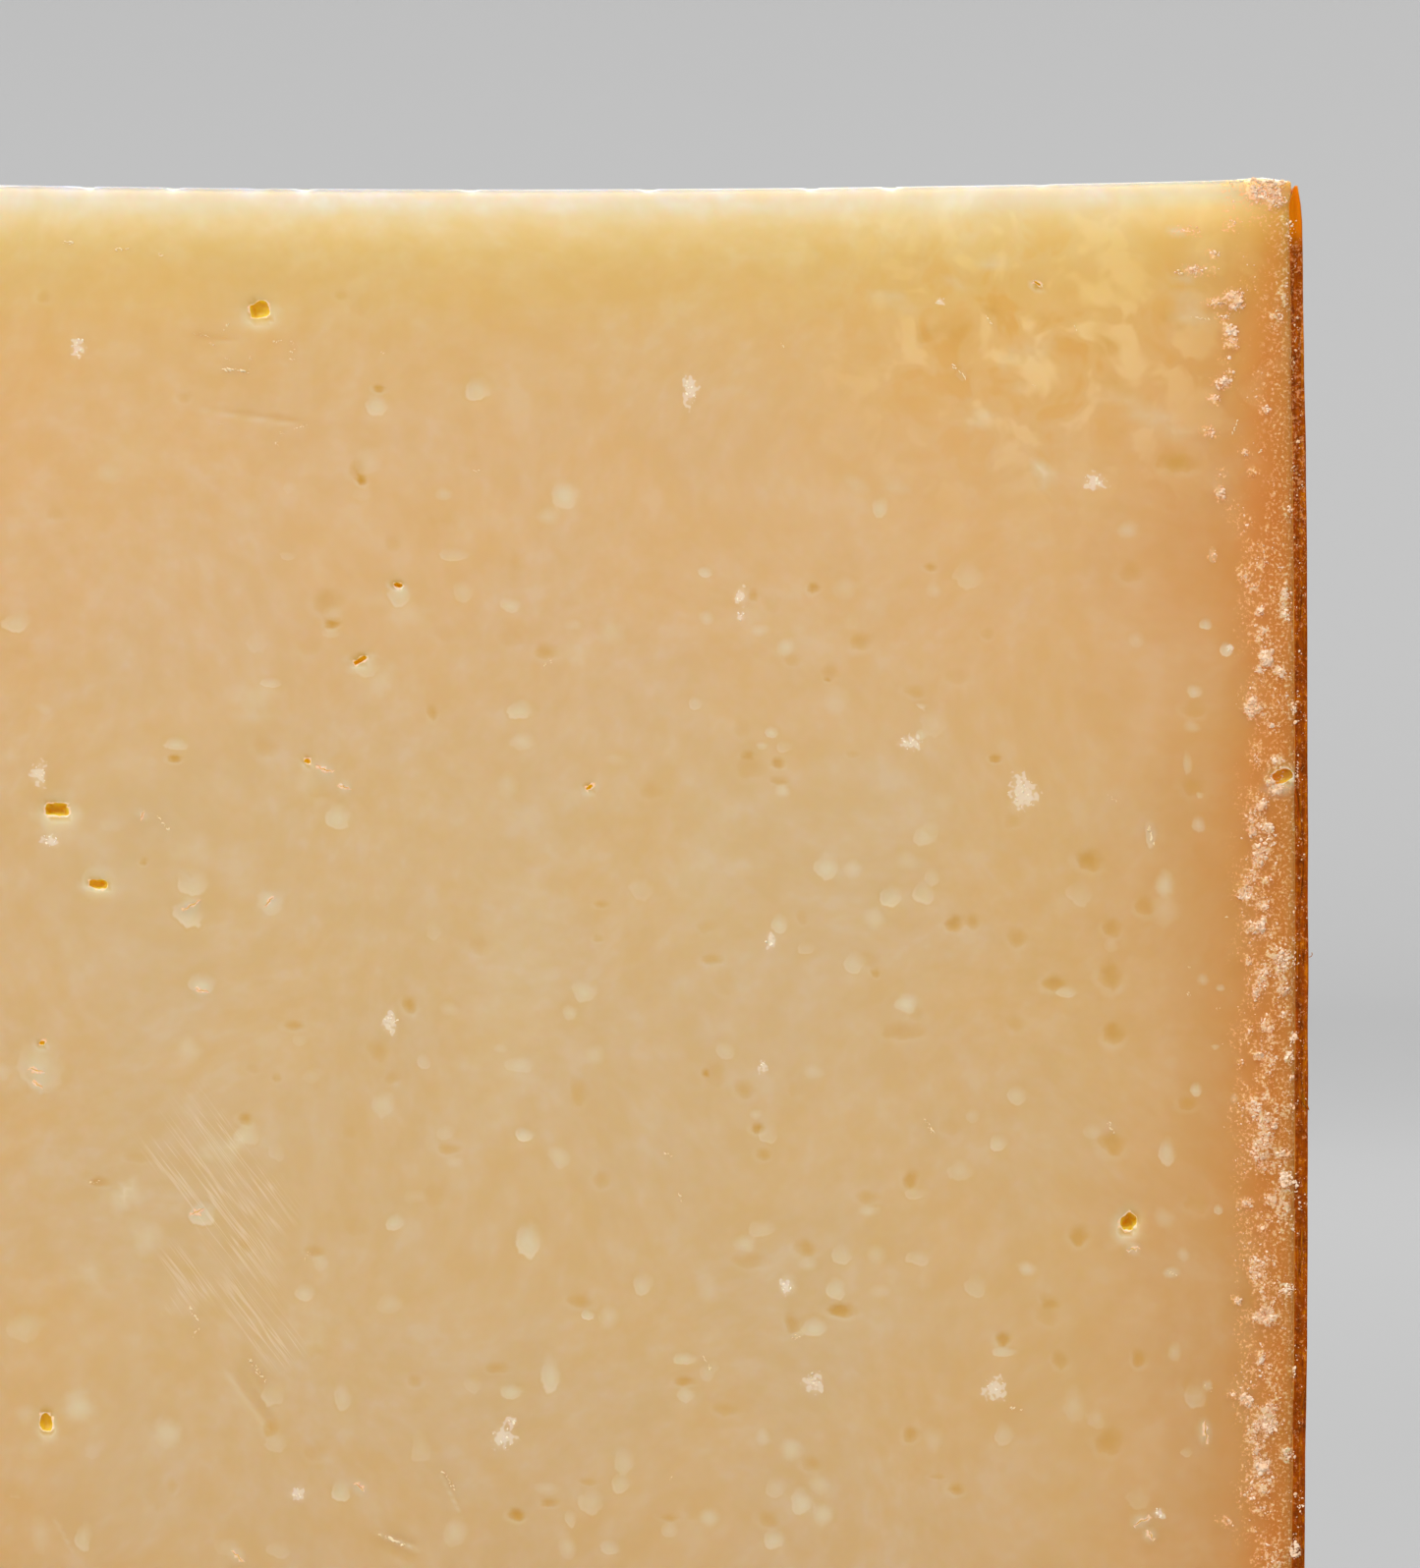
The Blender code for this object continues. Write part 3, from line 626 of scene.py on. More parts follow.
# along the coat, and on its cut end
seamCrumbs = {"place": 1.05, "spread": 0.35, "amount": 0.25, "onCoat": 0.08}
crumbHeaps = [
    # on the right of the front: place, half width, half height, how much there is
    (3.6, 0.5, 2.2, 0.9, 1.0), (2.3, 1.6, 0.7, 0.7, 0.7), (1.5, 4.2, 0.3, 1.8, 0.45),
    (8.9, 3.8, 1.1, 0.3, 0.5), (5.6, 3.4, 0.4, 0.4, 0.5), (7.1, 5.5, 0.4, 0.2, 0.6),
    (8.2, 6.6, 1.3, 0.4, 0.6), (9.7, 6.9, 0.5, 0.3, 0.7), (5.5, 8.5, 0.5, 0.3, 1.0),
    (6.6, 9.2, 1.0, 0.4, 1.0), (5.1, 9.2, 0.5, 0.4, 0.7), (6.4, 10.0, 0.5, 0.4, 0.8),
    (5.7, 11.1, 0.4, 0.5, 1.0), (5.5, 12.1, 0.4, 0.5, 0.8), (6.0, 13.1, 0.6, 0.6, 1.0),
    (5.7, 14.1, 0.5, 0.4, 0.8), (6.3, 14.9, 0.6, 0.5, 1.0), (6.9, 16.0, 0.5, 0.4, 1.0),
    (2.3, 10.1, 0.4, 0.3, 0.9), (1.7, 8.0, 0.3, 1.5, 0.6), (3.1, 16.8, 0.4, 0.5, 0.7),
    (7.3, 18.4, 0.5, 0.4, 0.6), (4.5, 20.0, 0.4, 0.3, 0.7), (4.0, 21.4, 0.5, 0.4, 0.6),
    (6.3, 21.6, 0.4, 0.3, 0.5), (6.4, 22.8, 0.3, 0.5, 0.7), (1.4, 24.2, 0.3, 0.8, 0.7),
    (7.0, 27.4, 0.3, 0.5, 0.4), (4.8, 28.9, 0.7, 0.6, 0.55), (4.0, 29.8, 0.4, 0.5, 0.9),
    (3.5, 31.5, 0.3, 0.6, 0.8), (1.7, 30.6, 0.5, 1.5, 0.7), (3.4, 33.0, 0.5, 0.7, 0.9),
    (3.1, 34.9, 0.5, 0.7, 1.0), (3.7, 35.8, 0.5, 0.3, 0.9), (2.1, 36.0, 0.4, 0.4, 0.9),
    (4.2, 38.6, 0.6, 0.7, 1.0), (2.8, 39.8, 0.3, 0.3, 0.8), (1.2, 38.5, 0.3, 0.4, 0.9),
    (2.5, 42.3, 1.0, 0.3, 0.8), (2.9, 43.9, 0.4, 0.4, 1.0), (2.3, 44.5, 0.5, 0.4, 1.0),
    (3.3, 45.6, 0.5, 0.6, 1.0), (3.2, 47.2, 0.7, 0.4, 1.0), (4.3, 47.6, 0.4, 0.6, 0.8),
    (3.7, 49.4, 0.6, 1.1, 0.8), (3.2, 51.1, 0.6, 0.5, 1.0), (4.6, 52.0, 0.5, 0.5, 0.95),
    (3.4, 53.0, 0.7, 0.6, 0.9), (3.7, 54.5, 0.8, 0.8, 0.95), (2.0, 56.8, 0.9, 1.0, 0.6),
    (4.5, 56.9, 0.4, 0.6, 0.95), (3.9, 59.1, 0.4, 0.7, 0.8), (1.9, 58.8, 0.4, 0.8, 0.7),
    (3.2, 61.6, 1.0, 1.0, 0.6), (1.2, 62.4, 0.5, 0.5, 1.0), (1.6, 64.0, 0.5, 0.5, 0.9),
    (3.8, 63.8, 0.5, 0.4, 1.0), (5.0, 64.3, 0.6, 0.4, 0.6), (1.3, 65.5, 0.5, 0.5, 0.95),
    (4.0, 67.5, 0.4, 1.1, 0.7), (3.0, 69.0, 1.0, 1.2, 0.6), (2.0, 70.9, 0.6, 0.5, 0.9),
    (1.8, 72.8, 0.5, 0.6, 1.0), (4.5, 74.5, 0.5, 0.4, 1.0), (3.0, 74.2, 0.6, 0.8, 0.6),
    (3.5, 76.4, 0.9, 0.6, 0.8), (1.8, 75.2, 0.4, 0.6, 0.6), (4.0, 79.4, 0.4, 1.3, 0.75),
    (1.4, 80.8, 0.5, 0.6, 0.8), (5.2, 81.6, 0.4, 0.3, 1.0), (3.3, 82.9, 0.9, 1.0, 0.9),
    (3.5, 85.9, 0.4, 2.0, 0.85), (1.2, 86.8, 0.3, 0.6, 0.8), (4.4, 88.9, 0.6, 0.5, 1.0),
    (5.7, 88.5, 0.3, 0.3, 0.7), (3.0, 90.2, 0.6, 1.6, 0.85), (4.1, 91.2, 0.4, 0.9, 0.75),
    (1.5, 92.8, 0.5, 0.6, 0.95), (3.4, 93.7, 0.5, 0.5, 1.0), (3.3, 95.3, 0.5, 1.0, 0.85),
    (3.4, 97.0, 0.6, 0.8, 0.95), (6.0, 97.8, 0.5, 0.5, 0.6), (4.0, 98.4, 0.5, 0.5, 0.8),
    (1.0, 99.6, 0.5, 0.7, 0.95),
]


def crumbShare(face, right, top, points):
    # how crumbly the paste is at each place, from 0 to 1
    fromRind = np.minimum(right, wide / mm - right)
    fromTop = top + 40 if face == "top" else top
    rows = np.array(crumbStreams)
    centre, spread, amount = [np.interp(fromTop, rows[:, 0], rows[:, n]) for n in (1, 2, 3)]
    wander = 0.5 * grain(points, 5 * mm, 11)
    stretched = points * (1, 1, 0.55)
    clump = grain(stretched, 1.5 * mm, 12) + 0.6 * grain(stretched, 0.6 * mm, 13)
    main = amount * ring(fromRind, centre + wander, spread)
    seam = seamCrumbs["amount"] * ring(fromRind, seamCrumbs["place"], seamCrumbs["spread"])
    onCoat = seamCrumbs["onCoat"] * fade(top, 6, 3)
    sparse = np.where(fromRind < 0.9, onCoat, 0.05 * fade(fromRind, 4.0, 7.0))
    share = np.clip(main + seam + sparse, 0, 1) * (0.6 + 1.9 * clump)
    if face == "front":
        share *= np.where(right < 10, 0.75, 1)
        for across, down, halfWide, halfHigh, most in crumbHeaps:
            near = np.nonzero((abs(right - across) < 2 * halfWide) & (abs(top - down) < 2 * halfHigh))[0]
            reach = np.hypot((right[near] - across) / halfWide, (top[near] - down) / halfHigh)
            share[near] = np.maximum(share[near], most * fade(reach - 0.8 * clump[near], 0.45, 1.15))
    return np.clip(share, 0, 1)


def bandShare(points):
    # 1 at the rind, 0 where the dry band ends; its inner limit wanders
    fromRind = wide / 2 - abs(points[:, 0])
    limit = slab["dryBand"] * (0.72 + 0.35 * grain(points, 14 * mm, 3))
    return fade(fromRind, 1.2 * mm, limit)


# The shape of the paste


pasteLook = {
    "edgeRounding": 0.14 * mm,
    "raggedSeam": 0.14 * mm,  # where it meets the coat
    "cells": (48, 21, 53),  # cuts across, through and up, before the fine work
    "cell": 2.37,  # their size in mm
    "sink": 0.22 * mm,  # how far the dry band has shrunk
    "crumble": 0.30 * mm,  # how rough its crumbs are
    # from the right, in mm
    "edgeChips": (88.8, 82.7, 76.3, 73.1, 61.0, 48.1, 36.3, 30.5, 19.5, 96.0, 104.0),
    "chipDepth": 0.20 * mm,
}


def domeInset(points):
    # how far the domed rind lies inside its fullest point
    up = (points[:, 2] - slab["domePeak"]) / (tall / 2)
    through = points[:, 1] / (deep / 2)
    return slab["domeInset"] * (0.85 * up * up + 0.10 * through * through)


def topDrop(points):
    across = np.minimum(abs(points[:, 0]) / (wide / 2), 1)
    wave = slab["topWave"] * (1 - across) * np.sin(points[:, 1] / (8 * mm))
    drop = slab["topDish"] * (1 - across * across) + wave
    return drop * fade(points[:, 2], tall, tall - slab["dishFades"])


def bladeRipple(points):
    x, z = points[:, 0], points[:, 2]
    slow = np.sin(x / (17 * mm)) * np.cos(z / (23 * mm) + 0.6)
    quick = np.sin(z / (5.2 * mm) + 1.3 * np.sin(x / (30 * mm)))
    return slab["bladeRipple"] * (0.5 + 0.36 * slow + 0.14 * quick)


def wantedLevel(face, fromRight, fromTop, margin):
    # how many times the cells there are halved
    level = np.zeros(len(fromRight), dtype=int)

    def ask(right, top, across, down, wanted):
        inside = np.hypot((fromRight - right) / (across + margin), (fromTop - top) / (down + margin)) < 1
        level[inside] = np.maximum(level[inside], wanted)

    for (right, top, width, height, strength), _ in allSpots(face):
        wanted = 3 if face == "front" and strength > 0.34 else 2
        ask(right, top, 0.6 * width, 0.66 * height, wanted)
    for right, top, width, height, _, _, _ in allEyes(face):
        ask(right, top, 0.8 * width, 0.8 * width, 3)
    for right, top, length, _ in allCracks(face):
        ask(right, top, 0.6 * length, 0.6 * length, 3)
    if face == "front":
        for right, top, width, height in crystalClusters:
            ask(right, top, 0.9 * width, 0.9 * height, 3)
        for right, top, length, _, lean, _, _, _ in knifeMarks:
            turn = math.radians(lean)
            for share in (-0.4, -0.2, 0, 0.2, 0.4):
                step = share * length
                ask(right - step * math.cos(turn), top + step * math.sin(turn), 0.8, 0.8, 3)
        for right, top, length, height, _, _ in clouds:
            ask(right, top, 0.5 * length, 0.5 * height, 2)
    fromRind = np.minimum(fromRight, wide / mm - fromRight)
    level[fromRind < 7.4 + margin] = np.maximum(level[fromRind < 7.4 + margin], 2)
    if face == "front":
        level[fromRight < 5.6 + margin] = np.maximum(level[fromRight < 5.6 + margin], 3)
    return level


def refinePaste(piece):
    # smaller cells where there is relief, each size reaching a little past the next
    for level in (1, 2, 3):
        cell = pasteLook["cell"] / 2 ** (level - 1)
        centres = readPoints(piece.data, "polygons", "center")
        areas = np.array([face.area for face in piece.data.polygons])
        chosen = np.zeros(len(centres), dtype=bool)
        for face in cutFaces:
            here = onFace(face, centres, 0.3 * mm)
            fromRight, fromTop = facePlace(face, centres)
            chosen |= here & (wantedLevel(face, fromRight, fromTop, 0.7 * cell) >= level)
        fromEdge = np.hypot(centres[:, 2] - tall, centres[:, 1] - low.y)
        chosen |= fromEdge < (0.5 + 0.7 * cell) * mm
        splitFaces(piece, chosen & (areas > 0.2 * (cell * mm) ** 2))
    print("  paste faces:", len(piece.data.polygons))


def shapePaste(piece):
    points = readPoints(piece.data)
    marks = np.zeros((len(points), 4))
    wear = np.zeros((len(points), 4))
    spots = {name: np.tile(noSpot, (len(points), 1)) for name in ("paleSpot", "goldenSpot")}
    shift = np.zeros((len(points), 3))
    band = bandShare(points)
    for face, facts in cutFaces.items():
        here = np.nonzero(onFace(face, points))[0]
        local = points[here]
        fromRight, fromTop = facePlace(face, local)
        layers = layFeatures(face, fromRight, fromTop, grain(local, 0.8 * mm, 15))
        crumbs = crumbShare(face, fromRight, fromTop, local)
        rough = 0.5 + 0.6 * grain(local, 0.8 * mm, 1) + 0.5 * grain(local, 0.35 * mm, 2)
        depth = layers.depth * mm + pasteLook["sink"] * band[here]
        depth -= pasteLook["crumble"] * crumbs * np.clip(rough, 0, 1.2)
        if face != "top":
            depth += bladeRipple(local)
        shift[here] -= np.outer(depth, facts["normal"])
        marks[here, 0] = np.maximum(marks[here, 0], layers.pale)
        marks[here, 1] = np.maximum(marks[here, 1], layers.golden)
        marks[here, 3] = np.maximum(marks[here, 3], layers.crystal)
        for name, nearest in spots.items():
            found = getattr(layers, name)
            closer = found[:, 0] < nearest[here, 0]
            nearest[here[closer]] = found[closer]
        inside = fade(np.minimum(fromRight, wide / mm - fromRight), 1.8, 0.9)
        marks[here, 2] = np.maximum(marks[here, 2], crumbs * inside)
        wear[here, 0] = np.maximum(wear[here, 0], band[here])
        wear[here, 1] = np.maximum(wear[here, 1], layers.scratch)
        middle = 20 if face == "front" else 70
        swirl = np.exp(-(((fromRight - middle) / 13) ** 2) - (((fromTop - 12) / 9) ** 2))
        wear[here, 2] = np.maximum(wear[here, 2], swirl)
    fromRight = (high.x - points[:, 0]) / mm
    fromEdge = np.hypot(points[:, 2] - tall, points[:, 1] - low.y)
    for place in pasteLook["edgeChips"]:
        chip = fade(abs(fromRight - place), 0.15, 0.55) * fade(fromEdge, 0.3 * mm, 1.2 * mm)
        shift[:, 2] -= pasteLook["chipDepth"] * chip
    side = np.minimum(1, abs(points[:, 0]) / (wide / 2)) ** 6
    atSeam = abs(points[:, 0]) > wide / 2 - slab["coat"] - 0.2 * mm
    ragged = np.where(atSeam, pasteLook["raggedSeam"] * grain(points, 0.8 * mm, 14), 0)
    shift[:, 0] -= np.sign(points[:, 0]) * (side * domeInset(points) + ragged)
    shift[:, 2] -= topDrop(points)
    shift[points[:, 2] < 0.05 * mm, 2] = 0
    writePoints(piece.data, points + shift)
    shares = {"marks": np.clip(marks, 0, 1), "wear": np.clip(wear, 0, 1)}
    for name, values in (shares | spots).items():
        layer = piece.data.attributes.new(name, "FLOAT_COLOR", "POINT")
        layer.data.foreach_set("color", values.astype(np.float32).ravel())


def makePaste():
    half = wide / 2 - slab["coat"] + 0.05 * mm
    piece = addGridBlock("paste", (2 * half, deep, tall), (0, 0, tall / 2), pasteLook)
    refinePaste(piece)
    shapePaste(piece)
    return piece


def faceTurn(face, lean):
    # turns a shape modelled with X across, Y into the paste and Z up, onto a cut face
    inward = -cutFaces[face]["normal"]
    up = -cutFaces[face]["down"]
    across = inward.cross(up)
    lean = math.radians(-lean if face == "back" else lean)
    return np.array(Matrix((across, inward, up)).transposed() @ Matrix.Rotation(lean, 3, "Y"))


def carveEye(tree, face, eye, seed):
    # a ragged pebble that cuts one open eye
    right, top, width, height, lean, square, depth = eye
    dropSelection()
    bpy.ops.mesh.primitive_ico_sphere_add(subdivisions=3, radius=1)
    pebble = bpy.context.object
    points = readPoints(pebble.data)
    bumps = 1 + 0.22 * grain(points, 0.8, seed) + 0.20 * grain(points, 0.3, seed)
    across, up = abs(points[:, 0]), abs(points[:, 2])
    corner = np.maximum(across, up) / (np.hypot(across, up) + 1e-9)
    points *= (bumps * (1 + 0.5 * square * (1 / np.maximum(corner, 0.7) - 1)))[:, None]
    points *= (width / 2, depth, height / 2)
    centre = np.array(landOn(tree, face, right, top)[0])
    writePoints(pebble.data, (points @ faceTurn(face, lean).T) * mm + centre)
    return pebble


def carveCrack(tree, face, crack, seed):
    # a thin jagged wedge that cuts one crack
    right, top, length, lean = crack
    draw = random.Random(seed)
    steps = 7
    points, faces = [], []
    for n in range(steps):
        along = (n / (steps - 1) - 0.5) * length
        jag = draw.uniform(-0.09, 0.09) * length if 0 < n < steps - 1 else 0
        gape = 0.015 + 0.045 * math.sin(math.pi * n / (steps - 1))
        points += [(along, -0.15, jag + gape), (along, -0.15, jag - gape), (along, 0.20, jag)]
    for n in range(steps - 1):
        a, b = 3 * n, 3 * n + 3
        faces += [(a, b, b + 1, a + 1), (a + 1, b + 1, b + 2, a + 2), (a + 2, b + 2, b, a)]
    last = 3 * steps
    faces += [(0, 1, 2), (last - 1, last - 2, last - 3)]
    centre = np.array(landOn(tree, face, right, top)[0])
    wedge = makePiece("wedge", (np.array(points) @ faceTurn(face, lean).T) * mm + centre, faces)
    pick(wedge)
    bpy.ops.object.mode_set(mode="EDIT")
    bpy.ops.mesh.select_all(action="SELECT")
    bpy.ops.mesh.normals_make_consistent(inside=False)
    bpy.ops.object.mode_set(mode="OBJECT")
    return wedge


def openTheEyes(paste, finish):
    tree = BVHTree.FromObject(paste, bpy.context.evaluated_depsgraph_get())
    cutters = []
    for face in cutFaces:
        for n, eye in enumerate(allEyes(face)):
            cutters.append(carveEye(tree, face, eye, 3 + 7 * n))
        for n, crack in enumerate(allCracks(face)):
            cutters.append(carveCrack(tree, face, crack, 50 + n))
    cutter = joinPieces("eye cutter", cutters)
    dress(cutter, finish)
    applyModifier(
        paste,
        "BOOLEAN",
        operation="DIFFERENCE",
        solver="EXACT",
        object=cutter,
        material_mode="TRANSFER",
    )
    bpy.data.objects.remove(cutter)


# The coated rind


coatLook = {
    "cells": (8, 40, 150),  # cuts through the coat, along the depth and up
    "edgeRounding": 0.12 * mm,
    "dents": 0.09 * mm,
    "strands": 0.16 * mm,  # relief of its cut ends
    "innerTip": (0.45 * mm, 1.0 * mm),  # how far its upper end narrows, and over what length
    "outerTip": (0.30 * mm, 3.0 * mm),
}


def makeCoat(name, side):
    # the coated rind of one of the wheel's two faces
    thick = slab["coat"] + slab["coatLap"]
    height = tall - slab["coatDrop"]
    through = deep - 2 * slab["coatRecess"]
    centre = (side * (wide / 2 - thick / 2), 0, height / 2)
    piece = addGridBlock(name, (thick, through, height), centre, coatLook)
    points = readPoints(piece.data)
    outer = np.clip((abs(points[:, 0]) - (wide / 2 - thick)) / thick, 0, 1)
    dents = coatLook["dents"] * (0.5 + 0.7 * grain(points, 16 * mm, 5) + 0.5 * grain(points, 4 * mm, 6))
    below = height - points[:, 2]
    narrow = outer * coatLook["outerTip"][0] * fade(below, 0, coatLook["outerTip"][1]) ** 2
    narrow -= (1 - outer) * coatLook["innerTip"][0] * fade(below, 0, coatLook["innerTip"][1])
    inward = domeInset(points) + outer * dents + narrow
    strands = 0.5 + 0.9 * grain(points * (1, 1, 0.12), 0.35 * mm, 7) + 0.4 * grain(points, 0.5 * mm, 8)
    cutEnds = fade(through / 2 - abs(points[:, 1]), 0, 0.5 * mm)
    points[:, 1] -= np.sign(points[:, 1]) * coatLook["strands"] * cutEnds * np.clip(strands, 0, 1)
    points[:, 0] -= side * inward
    points[:, 2] = np.maximum(points[:, 2], 0)
    writePoints(piece.data, points)
    smooth(piece, 50)
    return piece


def dressCoat(piece, section, skin):
    # the cut ends show the section, the rest is the wheel's own face
    piece.data.materials.append(section)
    piece.data.materials.append(skin)
    normals = readPoints(piece.data, "polygons", "normal")
    isSkin = (abs(normals[:, 0]) > 0.8).astype(np.int32)
    piece.data.polygons.foreach_set("material_index", isSkin)


# Small loose things: crumbs, crystals and slivers, all strewn


def makeTemplate(name, rounds):
    # the pebble that every crumb is a copy of
    dropSelection()
    bpy.ops.mesh.primitive_ico_sphere_add(subdivisions=rounds, radius=0.5)
    pebble = bpy.context.object
    pebble.name = name
    return pebble


def strewCopies(name, pebble, bits, seed, jitter, lobes):
    # bits: centre, size along, size across, thickness, direction along, normal, bend
    draw = np.random.default_rng(seed)
    template = readPoints(pebble.data)
    corners = np.array([tuple(face.vertices) for face in pebble.data.polygons])
    points, faces = [], []
    for centre, long, broad, thick, along, normal, bend in bits:
        copy = template * (1 + jitter * (draw.random((len(template), 1)) - 0.5))
        waves = np.sin(template @ draw.normal(0, 7, (3, 3)) + draw.uniform(0, 6.3, 3)).mean(axis=1)
        copy = copy * (1 + lobes * waves)[:, None]
        copy[:, 1] += bend * (copy[:, 0] ** 2 - 0.1)
        copy = copy * (long, broad, thick)
        out = Vector(normal).normalized()
        run = (Vector(along) - out * out.dot(Vector(along))).normalized()
        turn = np.array((run, out.cross(run), out))
        faces.append(corners + len(template) * len(points))
        points.append(copy @ turn + np.array(centre))
    return makePiece(name, np.concatenate(points), np.concatenate(faces))


def landOn(tree, face, fromRight, fromTop):
    # the finished surface under a place on a cut face
    out = cutFaces[face]["normal"]
    wellOutside = 5 * mm
    start = pointOn(face, fromRight, fromTop) + out * wellOutside
    point, normal, _, _ = tree.ray_cast(start, -out)
    if point is None or normal.dot(out) < 0.3:
        return None, None
    return point, normal


def surfaceOf(pieces):
    points, faces = [], []
    for piece in pieces:
        faces += [[n + len(points) for n in face.vertices] for face in piece.data.polygons]
        points += [vertex.co.copy() for vertex in piece.data.vertices]
    return BVHTree.FromPolygons(points, faces)


def leanTo(face, lean):
    turn = math.radians(lean)
    return Vector((math.cos(turn), 0, 0)) + cutFaces[face]["down"] * math.sin(turn)


crumbLook = {
    "fromRind": (0.15, 11),  # where they lie, in mm
    "leftShare": 0.4,  # of them are by the left rind
    "grains": {
        "counts": {"front": 4600, "back": 2400, "top": 900},
        "sizes": (0.10, 0.24),  # in mm
        "flat": 0.5,  # how thick one is for its size
        "sharpness": 1.5,  # how closely they keep to the crumbliest places
        "seed": 12,
    },
    "lumps": {
        "counts": {"front": 1600, "back": 300, "top": 110},
        "sizes": (0.16, 0.42),
        "flat": 0.22,
        "sharpness": 2.0,
        "seed": 13,
    },
}


def strewCrumbs(tree, counts, sizes, flat, sharpness, seed):
    # bits of crumbled paste, the more of them the crumblier it is
    draw = random.Random(seed)
    numbers = np.random.default_rng(seed)
    bits = []
    for face, wanted in counts.items():
        reach = cutFaces[face]["reach"]
        out = cutFaces[face]["normal"]
        made = 0
        while made < wanted:
            tries = 4000
            rights = numbers.uniform(*crumbLook["fromRind"], tries)
            tops = numbers.uniform(0.1, reach - 0.3, tries)
            onLeft = numbers.random(tries) < crumbLook["leftShare"]
            rights = np.where(onLeft, wide / mm - rights, rights)
            places = np.array([pointOn(face, right, top) for right, top in zip(rights, tops)])
            shares = crumbShare(face, rights, tops, places)
            taken = np.nonzero(numbers.random(tries) < shares**sharpness)[0]
            for right, top, share in zip(rights[taken], tops[taken], shares[taken]):
                point, normal = landOn(tree, face, right, top)
                if point is None or made >= wanted:
                    continue
                size = draw.uniform(*sizes) * (0.6 + 0.4 * float(share)) * mm
                along = Vector([draw.uniform(-1, 1) for _ in range(3)])
                tilted = normal + 0.3 * Vector([draw.uniform(-1, 1) for _ in range(3)])
                broad = draw.uniform(0.5, 0.9) * size
                bits.append((point + 0.02 * size * out, size, broad, flat * size, along, tilted, 0))
                made += 1
    return bits


crystalClusters = [
    # place, width, height, on the front
    (20.9, 44.7, 1.7, 2.3), (41.4, 30.4, 0.8, 1.2), (41.4, 31.9, 0.5, 0.6), (45.1, 15.4, 0.9, 1.9),
    (29.1, 41.1, 1.4, 0.9), (15.6, 22.1, 1.4, 1.0), (5.8, 34.2, 0.6, 0.5), (4.1, 38.4, 0.8, 0.9),
    (58.6, 91.6, 1.4, 1.3), (36.1, 87.6, 1.2, 1.3), (22.9, 88.1, 1.4, 1.5), (73.6, 95.7, 1.0, 0.9),
    (92.4, 43.4, 0.9, 1.8), (89.6, 12.4, 0.9, 1.3), (38.1, 80.6, 0.8, 0.9), (10.9, 97.1, 0.8, 0.6),
    (26.9, 8.9, 0.6, 0.5), (91.6, 48.2, 1.1, 0.8), (66.9, 61.4, 0.9, 1.7), (39.8, 64.7, 0.5, 0.9),
    (39.2, 55.5, 0.6, 1.1), (58.1, 90.5, 0.7, 0.8),
]
strayCrystals = {"back": 16, "top": 7}


def strewCrystals(tree):
    draw = random.Random(9)
    clusters = [("front", *cluster) for cluster in crystalClusters]
    for face, count in strayCrystals.items():
        for _ in range(count):
            size = draw.uniform(0.6, 1.8)
            clusters.append((face, *anyPlace(draw, face, 6, 3), size, size))
    bits = []
    for face, right, top, width, height in clusters:
        for _ in range(int(4 + 6 * width * height)):
            angle = draw.uniform(0, 6.3)
            reach = 0.5 * draw.random() ** 0.6 * (1 + 0.3 * math.sin(3 * angle + right))
            point, normal = landOn(
                tree, face, right + width * reach * math.cos(angle), top + height * reach * math.sin(angle)
            )
            if point is None:
                continue
            size = draw.uniform(0.07, 0.26) * mm
            along = Vector([draw.uniform(-1, 1) for _ in range(3)])
            bits.append((point, size, size * draw.uniform(0.3, 0.9), size * 0.25, along, normal, 0))
    return bits


slivers = [
    # thin curls of paste that the knife raised: place, length, lean
    (78.1, 14.0, 2.0, 5), (80.6, 11.4, 1.3, 10), (78.9, 10.9, 0.7, -60), (79.8, 12.1, 0.5, 0),
    (78.6, 13.2, 0.6, 20), (77.1, 13.1, 0.3, 0), (75.1, 11.9, 0.6, -20), (74.0, 12.0, 0.4, 30),
    (74.0, 12.6, 0.5, -40), (74.0, 13.2, 0.3, 0), (73.4, 18.1, 1.0, -22), (74.7, 18.6, 0.5, -10),
    (75.1, 19.3, 0.5, 60), (79.2, 17.9, 0.3, 0), (83.4, 46.9, 1.3, 52), (81.2, 82.6, 1.4, 55),
    (11.6, 47.8, 1.9, 78), (14.4, 45.1, 0.8, 40), (55.5, 35.3, 0.7, -40), (46.7, 71.0, 0.8, 20),
    (45.8, 74.1, 0.7, 60), (37.4, 84.3, 0.8, -20), (43.9, 86.1, 1.2, 60), (14.5, 69.0, 1.0, 70),
    (10.1, 79.6, 0.9, 30), (7.4, 88.0, 0.7, 20), (88.4, 73.0, 0.8, -15), (72.9, 78.4, 0.8, -50),
    (23.3, 10.4, 1.0, 48), (25.4, 14.2, 1.6, 42), (19.8, 7.6, 0.9, 35), (9.4, 6.9, 1.1, 32),
    (8.5, 7.1, 0.6, -50), (17.1, 10.9, 0.4, 70), (20.1, 15.1, 0.3, 20), (67.4, 12.7, 0.3, 0),
    (60.7, 21.3, 0.6, 20), (66.9, 99.0, 2.2, 20), (62.7, 94.6, 1.8, 58), (76.6, 86.6, 2.4, 54),
    (6.1, 53.8, 0.3, 0), (8.8, 57.4, 0.3, 10), (8.9, 59.3, 0.5, 60), (6.7, 60.4, 0.3, -30),
    (93.5, 4.5, 0.5, 3), (90.4, 4.7, 1.0, 4), (86.4, 5.2, 0.9, 4), (83.6, 5.6, 0.6, 4),
    (5.4, 18.0, 1.2, -75), (8.0, 10.2, 1.4, 15), (2.2, 9.5, 1.0, -30), (3.6, 19.9, 0.7, -50),
]
straySlivers = {"front": 8, "back": 40, "top": 16}


